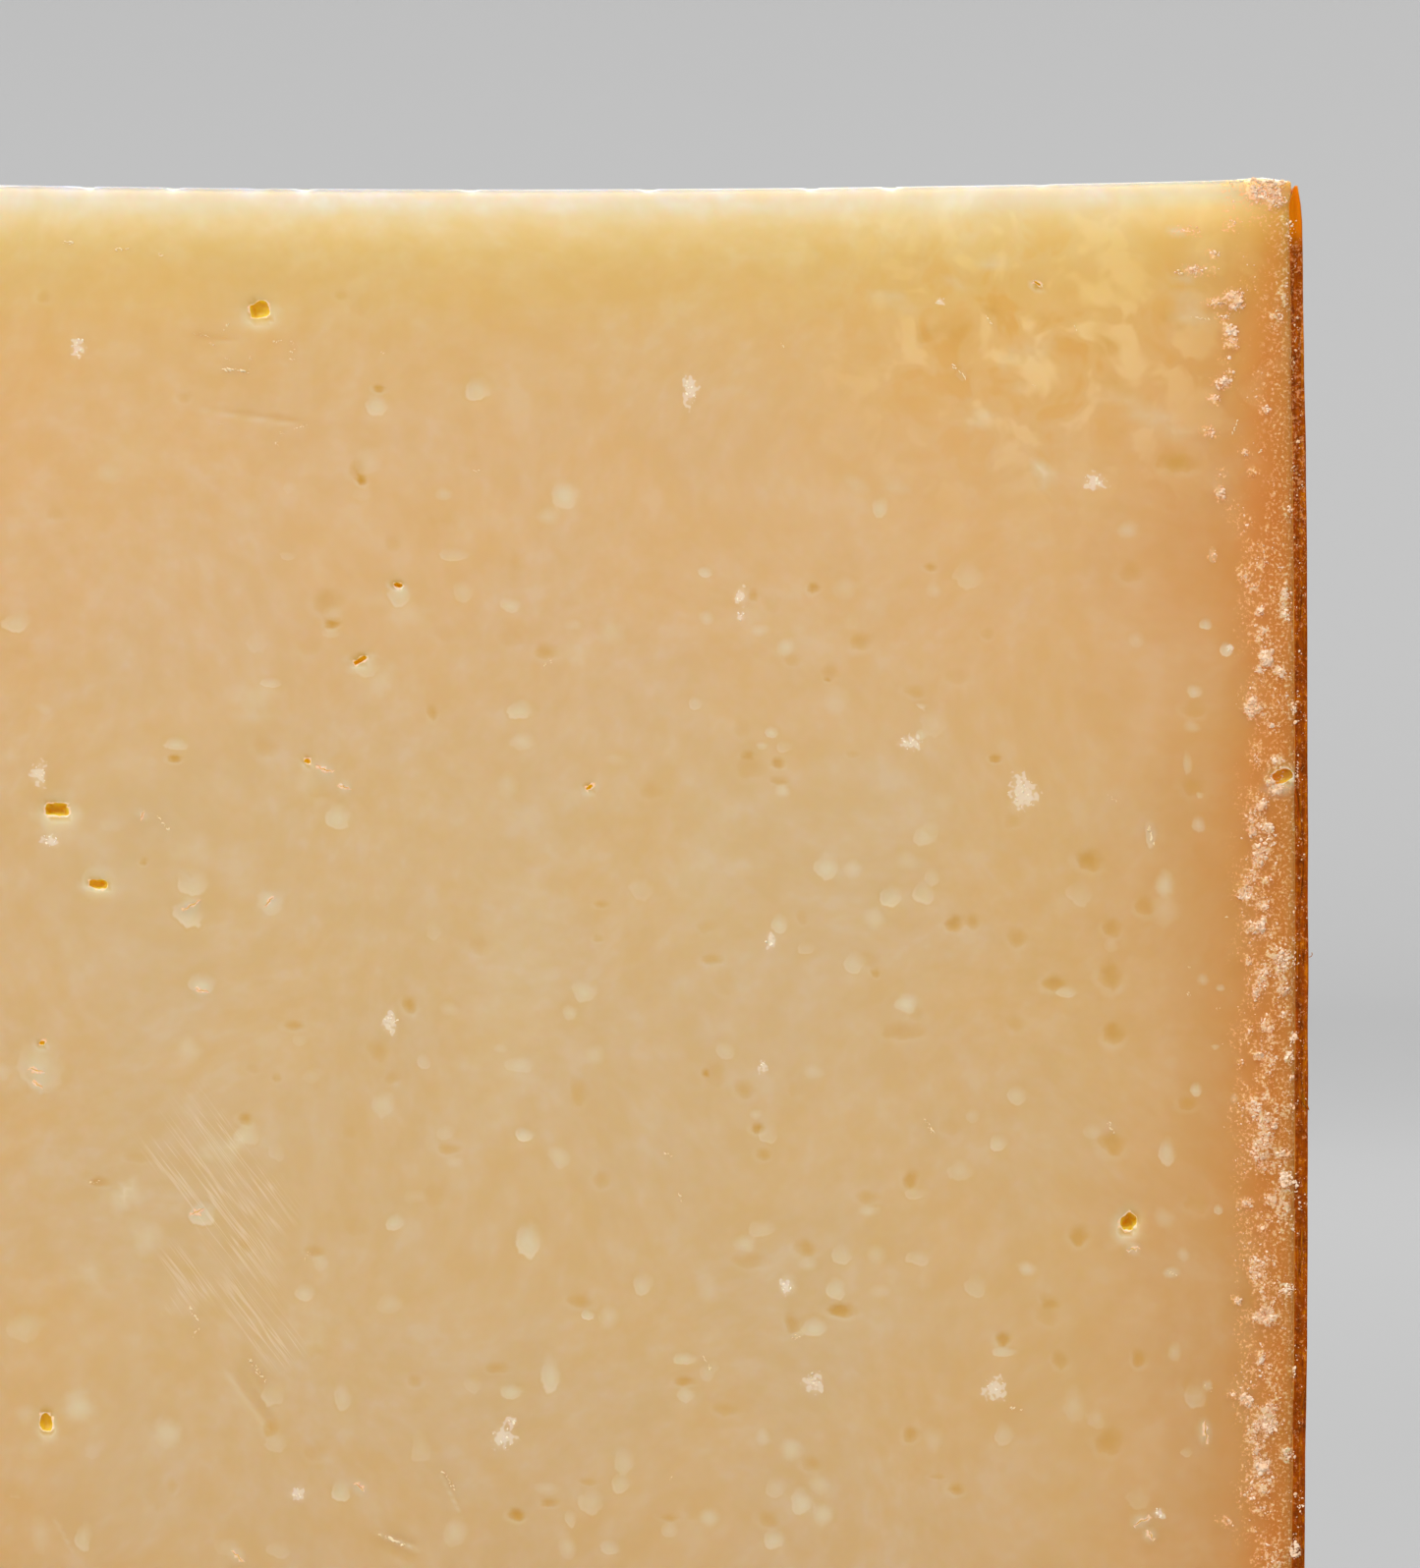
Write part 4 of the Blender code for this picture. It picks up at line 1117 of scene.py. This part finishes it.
def strewSlivers(tree):
    # each is a broken row of small flakes
    draw = random.Random(17)
    marks = [("front", *sliver) for sliver in slivers]
    for face, count in straySlivers.items():
        for _ in range(count):
            length = 0.2 + 1.3 * draw.random() ** 3
            marks.append((face, *anyPlace(draw, face, 5, 2), length, draw.uniform(-70, 70)))
    bits = []
    for face, right, top, length, lean in marks:
        turn = math.radians(lean)
        for _ in range(int(2 + 7 * length)):
            step, aside = draw.uniform(-0.5, 0.5) * length, draw.gauss(0, 0.06)
            across = right - step * math.cos(turn) + aside * math.sin(turn)
            down = top + step * math.sin(turn) + aside * math.cos(turn)
            point, normal = landOn(tree, face, across, down)
            if point is None:
                continue
            size = draw.uniform(0.08, 0.16 + 0.12 * length) * mm
            broad = draw.uniform(0.25, 0.6) * size
            along = leanTo(face, lean + draw.gauss(0, 25))
            bits.append((point, size, broad, 0.06 * mm, along, normal, draw.uniform(-0.6, 0.6)))
    return bits


def strewRindShreds():
    # strands that came loose from the coat's cut edge, and one curled fibre
    edge = high.x - 0.55 * mm
    out = Vector((0, -1, 0))
    strands = [
        # up from the floor, in from the edge, length, width, lean, in mm
        (81.9, 0.30, 4.6, 0.20, 82), (77.0, 0.10, 3.0, 0.16, 95), (71.5, 0.05, 1.6, 0.14, 88),
        (62.3, 0.15, 3.2, 0.18, 84), (60.8, -0.10, 1.4, 0.30, 60), (50.2, 0.10, 2.4, 0.16, 93),
        (39.0, 0.00, 1.8, 0.20, 100), (28.5, 0.10, 2.0, 0.14, 86), (97.0, 0.20, 2.6, 0.14, 92),
    ]
    bits = []
    for up, inward, length, width, lean in strands:
        centre = Vector((edge - inward * mm, low.y + slab["coatRecess"], up * mm))
        bits.append((centre, length * mm, width * mm, 0.16 * mm, leanTo("front", lean), out, 0.6))
    for n in range(6):
        turn = 0.6 * n - 2.7
        hook = Vector((0.2 * math.cos(turn), 0, 0.2 * math.sin(turn))) * mm
        centre = Vector((high.x - 0.05 * mm, low.y + 0.3 * mm, 71.55 * mm)) + hook
        along = Vector((-math.sin(turn), 0, math.cos(turn)))
        bits.append((centre, 0.16 * mm, 0.06 * mm, 0.06 * mm, along, out, 0))
    return bits


# Finishes


class Wire:
    # a socket's value, which can be used in sums
    def __init__(self, finish, socket):
        self.finish = finish
        self.socket = socket

    def reckon(self, operation, first, second):
        return self.finish.node("ShaderNodeMath", {"operation": operation}, {0: first, 1: second})

    def __add__(self, other):
        return self.reckon("ADD", self, other)

    def __radd__(self, other):
        return self.reckon("ADD", other, self)

    def __sub__(self, other):
        return self.reckon("SUBTRACT", self, other)

    def __rsub__(self, other):
        return self.reckon("SUBTRACT", other, self)

    def __mul__(self, other):
        return self.reckon("MULTIPLY", self, other)

    def __truediv__(self, other):
        return self.reckon("DIVIDE", self, other)

    def __abs__(self):
        return self.reckon("ABSOLUTE", self, 0.0)

    def root(self):
        return self.reckon("SQRT", self, 0.0)


class Finish:
    def __init__(self, name, constants):
        self.material = bpy.data.materials.new(name)
        self.material.use_nodes = True
        self.tree = self.material.node_tree
        self.shader = self.tree.nodes["Principled BSDF"]
        for socket, value in constants.items():
            self.shader.inputs[socket].default_value = value

    def node(self, kind, settings=None, sockets=None, output=0):
        made = self.tree.nodes.new(kind)
        for key, value in (settings or {}).items():
            if key == "stops":
                self.setStops(made.color_ramp, value)
            else:
                setattr(made, key, value)
        for key, value in (sockets or {}).items():
            self.feed(made.inputs[key], value)
        return Wire(self, made.outputs[output])

    def setStops(self, ramp, stops):
        while len(ramp.elements) < len(stops):
            ramp.elements.new(0.5)
        for element, (position, colour) in zip(ramp.elements, stops):
            element.position = position
            element.color = colour

    def feed(self, socket, value):
        if isinstance(value, Wire):
            self.tree.links.new(value.socket, socket)
        else:
            socket.default_value = value

    def alphaOf(self, wire):
        return Wire(self, wire.socket.node.outputs["Alpha"])

    def nearestSpot(self, name, uneven):
        # how far out, 0 above to 1 at the lower left, strength and crispness
        facts = self.node("ShaderNodeAttribute", {"attribute_name": name})
        reach, below, strength = self.split(facts, "ShaderNodeSeparateColor")
        return reach + uneven, self.step(below, -0.8, 0.9), strength, self.alphaOf(facts)

    def place(self, turn=0.0, scale=(1000, 1000, 1000)):
        # where a point of the piece is, in mm, turned about Y
        spot = self.node("ShaderNodeTexCoord", output="Object")
        turned = {"Vector": spot, "Scale": (1000, 1000, 1000), "Rotation": (0, math.radians(turn), 0)}
        if not turn:
            return self.node("ShaderNodeMapping", sockets={"Vector": spot, "Scale": scale})
        mapped = self.node("ShaderNodeMapping", sockets=turned)
        share = [size / 1000 for size in scale]
        return self.node("ShaderNodeMapping", sockets={"Vector": mapped, "Scale": share})

    def split(self, wire, kind="ShaderNodeSeparateXYZ"):
        separate = self.node(kind, sockets={0: wire}).socket.node
        return [Wire(self, separate.outputs[n]) for n in range(3)]

    def noise(self, place, scale, detail=2.0, roughness=0.5, output=0):
        sockets = {"Vector": place, "Scale": scale, "Detail": detail, "Roughness": roughness}
        return self.node("ShaderNodeTexNoise", sockets=sockets, output=output)

    def warp(self, place, scale, reach):
        # pushes a place about, for swirls
        push = self.noise(place, scale, 0, output=1)
        half, reaches = (0.5, 0.5, 0.5), (reach, reach, reach)
        centred = self.node("ShaderNodeVectorMath", {"operation": "SUBTRACT"}, {0: push, 1: half})
        sockets = {0: centred, 1: reaches, 2: place}
        return self.node("ShaderNodeVectorMath", {"operation": "MULTIPLY_ADD"}, sockets)

    def step(self, value, start, end):
        # 0 at start, 1 at end
        sockets = {"Value": value, "From Min": start, "From Max": end}
        return self.node("ShaderNodeMapRange", {"interpolation_type": "SMOOTHSTEP"}, sockets)

    def ramp(self, value, stops):
        return self.node("ShaderNodeValToRGB", {"stops": stops}, {"Fac": value})

    def rampOver(self, distance, table):
        # a ramp whose stops are given by their distance
        reach = table[-1][0]
        return self.ramp(distance / reach, [(place / reach, colour) for place, colour in table])

    def blend(self, share, first, second, kind="MIX"):
        settings = {"data_type": "RGBA", "blend_type": kind}
        return self.node("ShaderNodeMix", settings, {0: share, 6: first, 7: second}, output=2)

    def lay(self, base, colours, *layers):
        # lays named colours over one another, each where its share is
        for share, name in layers:
            base = self.blend(share, base, colours[name])
        return base

    def tint(self, share, colour, factors):
        # multiplies a colour where the share is 1
        return self.blend(share, colour, (*factors, 1.0), "MULTIPLY")

    def bump(self, height, distance, strength):
        sockets = {"Height": height, "Strength": strength, "Distance": distance}
        return self.node("ShaderNodeBump", sockets=sockets)

    def use(self, socket, value):
        self.feed(self.shader.inputs[socket], value)


def waxy(weight, radius, scale, more):
    # constants of a finish that light gets into
    depth = {"Subsurface Weight": weight, "Subsurface Radius": radius, "Subsurface Scale": scale}
    return {**depth, "IOR": 1.45, **more}


def shade(red, green, blue):
    # a colour as read off a screen, 0 to 255, for a node's socket
    channels = [value / 255 for value in (red, green, blue)]
    linear = [c / 12.92 if c <= 0.04045 else ((c + 0.055) / 1.055) ** 2.4 for c in channels]
    return (*linear, 1.0)


def dress(piece, material):
    piece.data.materials.clear()
    piece.data.materials.append(material)


pasteColours = {
    # distance from the rind in mm, and the paste's colour there
    "fromRind": [
        (0.0, shade(204, 114, 36)), (2.4, shade(200, 124, 48)), (3.8, shade(202, 135, 65)),
        (5.2, shade(200, 146, 81)), (7.4, shade(202, 157, 99)), (11.6, shade(206, 167, 114)),
        (18.0, shade(207, 172, 119)), (24.5, shade(208, 174, 123)), (32.0, shade(207, 176, 128)),
    ],
    # distance from the top's front and back edges in mm, and what the colour there is multiplied by: a
    # painted glow of the top light shining through the thin edge, whitish at the edge, golden below it and
    # a little darker towards the bottom
    "fromEdge": [
        (0.0, (0.93, 1.26, 2.38, 1)), (0.2, (0.95, 1.29, 2.45, 1)), (1.3, (1.08, 1.47, 2.06, 1)),
        (2.1, (1.14, 1.38, 1.48, 1)), (2.7, (1.16, 1.32, 1.26, 1)), (3.5, (1.15, 1.23, 1.05, 1)),
        (4.4, (1.12, 1.14, 0.87, 1)), (6.3, (1.09, 1.04, 0.76, 1)), (7.8, (1.08, 1.02, 0.75, 1)),
        (10.7, (1.07, 0.99, 0.82, 1)), (17.5, (1.06, 0.98, 0.91, 1)),
        (32.0, (1.04, 0.98, 0.97, 1)), (45.0, (1.01, 1.0, 1.0, 1)), (62.0, (1.0, 0.985, 0.98, 1)),
        (82.0, (1.0, 0.985, 0.98, 1)), (104.0, (0.98, 0.93, 0.89, 1)),
    ],
    "pale": shade(215, 200, 165),
    "palest": shade(238, 224, 198),
    "golden": shade(196, 147, 48),
    "crystal": shade(244, 236, 222),
    "swirlBase": shade(213, 177, 108),
    "swirlPale": shade(222, 197, 148),
    "swirlGolden": shade(206, 160, 82),
    "crumb": shade(250, 220, 178),
    "crumbWarm": shade(238, 176, 116),
}


def makePasteFinish():
    finish = Finish("gouda paste", waxy(0.75, (1.0, 0.55, 0.22), 0.005, {"Specular IOR Level": 0.35}))
    place = finish.place()
    x, y, z = finish.split(place)
    marks = finish.node("ShaderNodeAttribute", {"attribute_name": "marks"})
    pale, golden, crumbs = finish.split(marks, "ShaderNodeSeparateColor")
    crystal = finish.alphaOf(marks)
    wear = finish.node("ShaderNodeAttribute", {"attribute_name": "wear"})
    dry, scratched, swirled = finish.split(wear, "ShaderNodeSeparateColor")

    # from the rind inwards
    drift = finish.noise(place, 0.09, 1)
    fromTop, fromFace = tall / mm - z, deep / 2 / mm - abs(y)
    fromRind = wide / 2 / mm - abs(x)
    fromRind = fromRind + (drift - 0.5) * finish.step(fromRind, 0.0, 12.0) * 7.0
    fromRind = fromRind * (1.0 + finish.step(fromTop, 14.0, 2.0) * 0.55)
    base = finish.rampOver(fromRind, pasteColours["fromRind"])

    # soft marbling all over, swirls where they are marked
    pushed = finish.warp(place, 0.05, 8.0)
    clouds = finish.step(finish.noise(pushed, 0.10, 2, 0.55), 0.36, 0.64)
    base = finish.tint(clouds, base, (0.985, 1.01, 1.08))
    fine = finish.noise(pushed, 0.42, 2, 0.6)
    base = finish.tint(finish.step(fine, 0.40, 0.70), base, (0.98, 0.95, 0.84))
    base = finish.tint(finish.step(fine, 0.46, 0.28), base, (1.01, 1.05, 1.15))
    swirl = finish.noise(finish.warp(place, 0.28, 3.0), 0.32, 2, 0.55)
    base = finish.lay(
        base,
        pasteColours,
        (swirled * 0.45, "swirlBase"),
        (finish.step(swirl, 0.49, 0.62) * swirled * 0.75, "swirlPale"),
        (finish.step(swirl, 0.47, 0.36) * swirled * 0.65, "swirlGolden"),
    )

    # painted glow of the top light shining through the thin paste: lighter towards the cut top's edges, on
    # the upright faces
    aside = x / (wide / 2 / mm)
    fromCut = fromTop - (1.0 - aside * aside) * (slab["topDish"] / mm)
    fromEdge = (fromCut * fromCut + fromFace * fromFace).root()
    paintedEdgeGlow = finish.rampOver(fromEdge, pasteColours["fromEdge"])
    base = finish.blend(finish.step(fromFace, 2.5, 0.5), base, paintedEdgeGlow, "MULTIPLY")
    # painted shade: the rounded top edge catches the lamps, so its colour is darkened there and its
    # roughness raised
    paintedRimShade = finish.step(fromEdge, 0.40, 0.05)  # the very edge catches the light
    base = finish.tint(paintedRimShade, base, (0.45, 0.50, 0.62))
    # more of the painted glow near the rinds: lighter just under the top, less red and bluer at the very
    # edge
    corner = finish.step(fromRind, 26.0, 9.0)
    base = finish.tint(corner * finish.step(fromTop, 6.0, 1.0), base, (1.11, 1.13, 0.97))
    base = finish.tint(corner * finish.step(fromEdge, 2.2, 0.6), base, (0.90, 0.96, 1.08))

    # spots: a soft upper edge, and a crisp lower one; their light and shade are painted, as a highlight lip
    # on the lower left edge, a shadow line just outside it, shade above the pale spots and light below the
    # golden ones
    patchy = finish.noise(place, 1.4, 1)
    uneven = (patchy - 0.5) * 0.6
    reach, lower, strength, crisp = finish.nearestSpot("goldenSpot", uneven)
    soft = 0.9 - lower * crisp * 0.5
    body = finish.step(reach, 1.0 + soft * 0.45, 1.0 - soft) * strength
    # painted light below a golden dimple, on the wall that faces the light
    under = finish.step(reach, 0.9, 1.1) * finish.step(reach, 1.8, 1.2) * lower * strength
    base = finish.lay(base, pasteColours, (body * 0.60, "golden"), (under * 0.16, "pale"))
    reach, lower, strength, crisp = finish.nearestSpot("paleSpot", uneven)
    soft = 1.0 - lower * crisp * 0.65
    body = finish.step(reach, 1.0 + soft * 0.4, 1.0 - soft) * strength
    # where the crisp lower edge shows: painted shade above a pale dimple, a painted shadow line just
    # outside its lower edge and a painted highlight lip inside it
    edge = lower * crisp * strength
    over = finish.step(reach, 0.9, 1.2) * finish.step(reach, 1.9, 1.3) * (1.0 - lower) * strength
    paintedShadowLine = finish.step(reach, 0.98, 1.06) * finish.step(reach, 1.28, 1.08) * edge
    paintedHighlightLip = finish.step(reach, 0.55, 0.88) * finish.step(reach, 1.04, 0.92) * edge
    base = finish.lay(
        base,
        pasteColours,
        (over * 0.05 + paintedShadowLine * 0.2, "golden"),
        (body * (0.55 + patchy * 0.45), "pale"),
        (paintedHighlightLip * 0.35, "palest"),
        # the golden layer: soft patches and the eyes' amber, with painted shade above the eyes and in the
        # knife grooves
        (golden * (0.30 + patchy * 0.5), "golden"),
    )

    # the pale skin of eyes, knife marks, soft patches, scratches and crystals; the pale layer also holds
    # painted light below the eyes and a painted highlight along the knife marks
    paleTone = finish.ramp(pale, [(0.45, pasteColours["pale"]), (0.85, pasteColours["palest"])])
    base = finish.blend(pale * (0.55 + patchy * 0.8), base, paleTone)
    across = finish.place(36.9, (1700, 0, 60))
    lines = finish.noise(across, 1.0, 2, 0.75)
    thin = finish.step(abs(lines - 0.5), 0.045, 0.0) * scratched
    frost = finish.noise(place, 3.0, 0)
    blot = finish.step(crystal + (frost - 0.5) * 1.1, 0.42, 0.66) * finish.step(crystal, 0.05, 0.35)

    # crumbs finer than the loose ones
    grit = finish.noise(place, 4.2, 2, 0.6)
    crumbly = crumbs + dry * 0.12
    speckle = grit + crumbly * 0.28
    showing = finish.step(crumbly, 0.01, 0.10)
    base = finish.lay(
        base,
        pasteColours,
        (thin * 0.3, "palest"),
        (finish.step(crystal, 0.2, 0.9) * 0.3, "palest"),
        (blot * 0.35, "crystal"),
        (finish.step(speckle, 0.54, 0.68) * showing * 0.6, "crumbWarm"),
        (finish.step(speckle, 0.64, 0.78) * showing * 0.6, "crumb"),
    )
    finish.use("Base Color", base)

    finish.use("Roughness", 0.42 + patchy * 0.14 + crumbs * 0.2 + paintedRimShade * 0.3)
    return finish.material


def makeEyeFinish():
    gloss = {"Specular IOR Level": 0.2}
    finish = Finish("inside of an eye", waxy(1.0, (1.0, 0.82, 0.12), 0.0035, gloss))
    place = finish.place()
    mottle = finish.noise(place, 1.6, 3)
    tone = finish.ramp(mottle, [(0.3, shade(231, 195, 56)), (0.7, shade(237, 204, 70))])
    x, _, _ = finish.split(place)
    fromRind = wide / 2 / mm - abs(x)
    finish.use("Base Color", finish.blend(finish.step(fromRind, 6.0, 2.5), tone, shade(231, 162, 40)))
    finish.use("Roughness", 0.4 + mottle * 0.2)
    finish.use("Normal", finish.bump(finish.noise(place, 3.0, 2), 0.0001, 0.4))
    return finish.material


coatColours = {
    "inner": shade(96, 38, 0),
    "middle": shade(138, 60, 0),
    "outer": shade(154, 72, 0),
    "streak": shade(198, 116, 4),
    # painted glow of the top light through the coat's thin upper end
    "paintedTipGlow": shade(220, 122, 0),
    "skin": shade(206, 140, 50),
    "skinDark": shade(184, 108, 24),
    "dust": shade(226, 160, 104),
}


def makeSectionFinish():
    # the cut ends of the coat: a dark inner layer, a lighter outer one, streaked up and down
    finish = Finish("coat section", waxy(0.5, (1.0, 0.3, 0.02), 0.0012, {"Specular IOR Level": 0.06}))
    place = finish.place()
    x, _, z = finish.split(place)
    up = (z - slab["domePeak"] / mm) / (tall / 2 / mm)
    outward = abs(x) - (wide - 2 * slab["coat"]) / 2 / mm + up * up * (0.85 * slab["domeInset"] / mm)
    strands = finish.noise(finish.place(scale=(5200, 600, 260)), 1.0, 3, 0.65)
    mottle = finish.noise(finish.warp(place, 0.8, 1.0), 1.3, 4, 0.7)
    layer = outward * 0.15 + (strands - 0.5) * 0.8 + (mottle - 0.5) * 1.6 + 0.42
    stops = [
        (0.05, coatColours["inner"]), (0.40, coatColours["middle"]), (0.62, coatColours["outer"]),
        (0.90, coatColours["streak"]),
    ]
    section = finish.ramp(layer, stops)
    streaks = finish.step(finish.noise(finish.place(scale=(3600, 500, 90)), 1.0, 2), 0.60, 0.70)
    section = finish.blend(streaks * 0.5, section, coatColours["streak"])
    # painted glow: the coat's cut end is brightened near its thin upper end, where the top light shines
    # through; less dust shows there
    paintedTipGlow = finish.step(z, tall / mm - 5.5, tall / mm - 3.5)
    section = finish.blend(paintedTipGlow * 0.75, section, coatColours["paintedTipGlow"])
    grit = finish.noise(finish.warp(place, 1.2, 0.5), 4.2, 3, 0.75)
    upper = finish.step(z, tall / mm - 34.0, tall / mm - 24.0)
    dust = finish.step(grit + upper * 0.05 - paintedTipGlow * 0.15, 0.56, 0.66)
    section = finish.blend(dust * 0.55, section, coatColours["dust"])
    finish.use("Base Color", section)
    finish.use("Roughness", 0.45 + dust * 0.3)
    finish.use("Normal", finish.bump(strands + grit * 0.4, 0.00012, 0.6))
    return finish.material


def makeSkinFinish():
    # the wheel's own face: a waxy amber coating with patches, freckles and a faint weave
    gloss = {"IOR": 1.48, "Coat Roughness": 0.28}
    finish = Finish("coated skin", waxy(0.3, (1.0, 0.4, 0.1), 0.002, gloss))
    place = finish.place()
    patches = finish.step(finish.noise(finish.warp(place, 0.05, 8.0), 0.07, 4, 0.6), 0.35, 0.7)
    skin = finish.blend(patches, coatColours["skin"], coatColours["skinDark"])
    freckles = finish.step(finish.noise(place, 0.9, 3, 0.7), 0.58, 0.75)
    skin = finish.blend(freckles * 0.4, skin, coatColours["skinDark"])
    scuffs = finish.step(finish.noise(finish.place(scale=(300, 2200, 160)), 1.0, 3, 0.7), 0.62, 0.72)
    skin = finish.blend(scuffs * 0.25, skin, coatColours["dust"])
    finish.use("Base Color", skin)
    finish.use("Roughness", 0.36 + freckles * 0.15 + scuffs * 0.2)
    finish.use("Coat Weight", 0.2 + patches * 0.15)
    warpThreads = finish.noise(finish.place(scale=(400, 2600, 400)), 1.0, 1)
    weftThreads = finish.noise(finish.place(scale=(400, 400, 2600)), 1.0, 1)
    relief = (warpThreads + weftThreads) * 0.6 + freckles * 0.3
    finish.use("Normal", finish.bump(relief, 0.00012, 0.5))
    return finish.material


def makeCrumbFinish(name, pale, warm):
    finish = Finish(name, {"IOR": 1.45, "Specular IOR Level": 0.2})
    place = finish.place()
    mottle = finish.noise(place, 1.1, 2)
    finish.use("Base Color", finish.ramp(mottle, [(0.35, pale), (0.68, warm)]))
    finish.use("Roughness", 0.5 + mottle * 0.2)
    finish.use("Normal", finish.bump(finish.noise(place, 9.0, 2), 0.00004, 0.4))
    return finish.material


# The studio


studio = {
    "cameraDistance": 0.60,  # from the cut front
    "viewCentre": (15.36, 83.93),  # across and up, in mm
    "viewHeight": 114.0,  # what the picture's height shows at the front, in mm
    "floorRadius": 2.4,
    "floorBend": 0.8,
    "wallHeight": 0.5,
    "floorTone": shade(157, 157, 157),
    "wallTone": shade(194, 194, 194),
    "softSun": 1.75,
    "softBox": 4.2,
    "topLight": 8,
    "air": 0.46,
}


def makeCamera():
    data = bpy.data.cameras.new("camera")
    data.sensor_width = 36
    data.sensor_fit = "VERTICAL"
    data.sensor_height = 36
    data.lens = 36 * studio["cameraDistance"] / (studio["viewHeight"] * mm)
    camera = bpy.data.objects.new("camera", data)
    bpy.context.scene.collection.objects.link(camera)
    across, up = studio["viewCentre"]
    camera.location = (across * mm, low.y - studio["cameraDistance"], up * mm)
    camera.rotation_euler = (math.pi / 2, 0, 0)
    bpy.context.scene.camera = camera


def makeFloor():
    # a round floor that curves up into a wall all round
    dropSelection()
    radius, bend = studio["floorRadius"], studio["floorBend"]
    justBelow = (0, 0, -0.2 * mm)
    bpy.ops.mesh.primitive_circle_add(vertices=96, radius=radius, fill_type="NGON", location=justBelow)
    floor = bpy.context.object
    floor.name = "floor"
    bpy.ops.object.mode_set(mode="EDIT")
    bpy.ops.mesh.select_mode(type="EDGE")
    bpy.ops.mesh.select_all(action="SELECT")
    steps = 12
    for n in range(steps):
        start, end = math.pi / 2 * n / steps, math.pi / 2 * (n + 1) / steps
        rise = bend * (math.cos(start) - math.cos(end))
        grow = (radius + bend * math.sin(end)) / (radius + bend * math.sin(start))
        bpy.ops.mesh.extrude_edges_move(TRANSFORM_OT_translate={"value": (0, 0, rise)})
        bpy.ops.transform.resize(value=(grow, grow, 1))
    bpy.ops.mesh.extrude_edges_move(TRANSFORM_OT_translate={"value": (0, 0, studio["wallHeight"])})
    bpy.ops.mesh.select_all(action="SELECT")
    bpy.ops.mesh.normals_make_consistent(inside=True)
    bpy.ops.object.mode_set(mode="OBJECT")
    smooth(floor, 60)
    finish = Finish("pale floor", {"Roughness": 0.9, "Specular IOR Level": 0.1})
    spot = finish.node("ShaderNodeTexCoord", output="Object")
    away = finish.node("ShaderNodeVectorMath", {"operation": "LENGTH"}, {0: spot}, output=1)
    tone = finish.blend(finish.step(away, 0.2, 1.3), studio["floorTone"], studio["wallTone"])
    finish.use("Base Color", tone)
    dress(floor, finish.material)


def addLamp(name, kind, place, aim, power, size):
    data = bpy.data.lights.new(name, kind)
    data.energy = power
    if kind == "SUN":
        data.angle = math.radians(size)
    else:
        data.shape = "DISK"
        data.size = size
    lamp = bpy.data.objects.new(name, data)
    bpy.context.scene.collection.objects.link(lamp)
    lamp.location = place
    lamp.rotation_euler = (Vector(aim) - Vector(place)).to_track_quat("-Z", "Y").to_euler()
    lamp.visible_camera = False


def makeLights():
    middle = (0, 0, tall * 0.7)
    addLamp("soft sun", "SUN", (-0.35, -0.95, 1.3), middle, studio["softSun"], 50)
    addLamp("soft box", "AREA", (-0.35, -0.50, 0.70), middle, studio["softBox"], 0.5)
    addLamp("top light", "AREA", (0.1, 0.15, 1.1), middle, studio["topLight"], 0.7)
    world = bpy.data.worlds.new("studio air")
    bpy.context.scene.world = world
    world.use_nodes = True
    world.node_tree.nodes["Background"].inputs["Color"].default_value = (1, 1, 1, 1)
    world.node_tree.nodes["Background"].inputs["Strength"].default_value = studio["air"]


# The work


scene = bpy.context.scene
scene.view_settings.view_transform = "Standard"

print("camera and studio")
makeCamera()
makeFloor()
makeLights()

print("paste")
paste = makePaste()
dress(paste, makePasteFinish())
openTheEyes(paste, makeEyeFinish())
smooth(paste, 50)
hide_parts("cheese")

print("rind")
section, skin = makeSectionFinish(), makeSkinFinish()
coats = [makeCoat("rind_right", 1), makeCoat("rind_left", -1)]
for coat in coats:
    dressCoat(coat, section, skin)

print("crumbs, crystals, slivers")
tree = surfaceOf((paste, *coats))
pebble = makeTemplate("pebble", 1)
lens = makeTemplate("lens", 2)
applyModifier(lens, "DECIMATE", ratio=0.55)
dryCrumb = makeCrumbFinish("dry crumb", shade(242, 214, 184), shade(226, 178, 134))
whiteCrystal = makeCrumbFinish("white crystal", shade(242, 230, 206), shade(230, 208, 170))
raisedSliver = makeCrumbFinish("raised sliver", shade(236, 214, 172), shade(224, 194, 146))
grains = strewCrumbs(tree, **crumbLook["grains"])
lumps = strewCrumbs(tree, **crumbLook["lumps"])
strewn = []
for name, template, bits, seed, jitter, lobes, finish in (
    ("crumbs", pebble, grains, 1, 0.8, 0.0, dryCrumb),
    ("crumb_lumps", lens, lumps, 5, 0.25, 0.55, dryCrumb),
    ("crystals", pebble, strewCrystals(tree), 2, 0.6, 0.0, whiteCrystal),
    ("slivers", pebble, strewSlivers(tree), 3, 0.6, 0.0, raisedSliver),
    ("rind_shreds", lens, strewRindShreds(), 4, 0.1, 0.0, section),
):
    piece = strewCopies(name, template, bits, seed, jitter, lobes)
    dress(piece, finish)
    smooth(piece, 75)
    strewn.append(piece)
for template in (pebble, lens):
    bpy.data.objects.remove(template)

for piece in (paste, *coats, *strewn):
    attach(piece, "root")
    print(" ", piece.name, sum(len(face.vertices) - 2 for face in piece.data.polygons), "triangles")
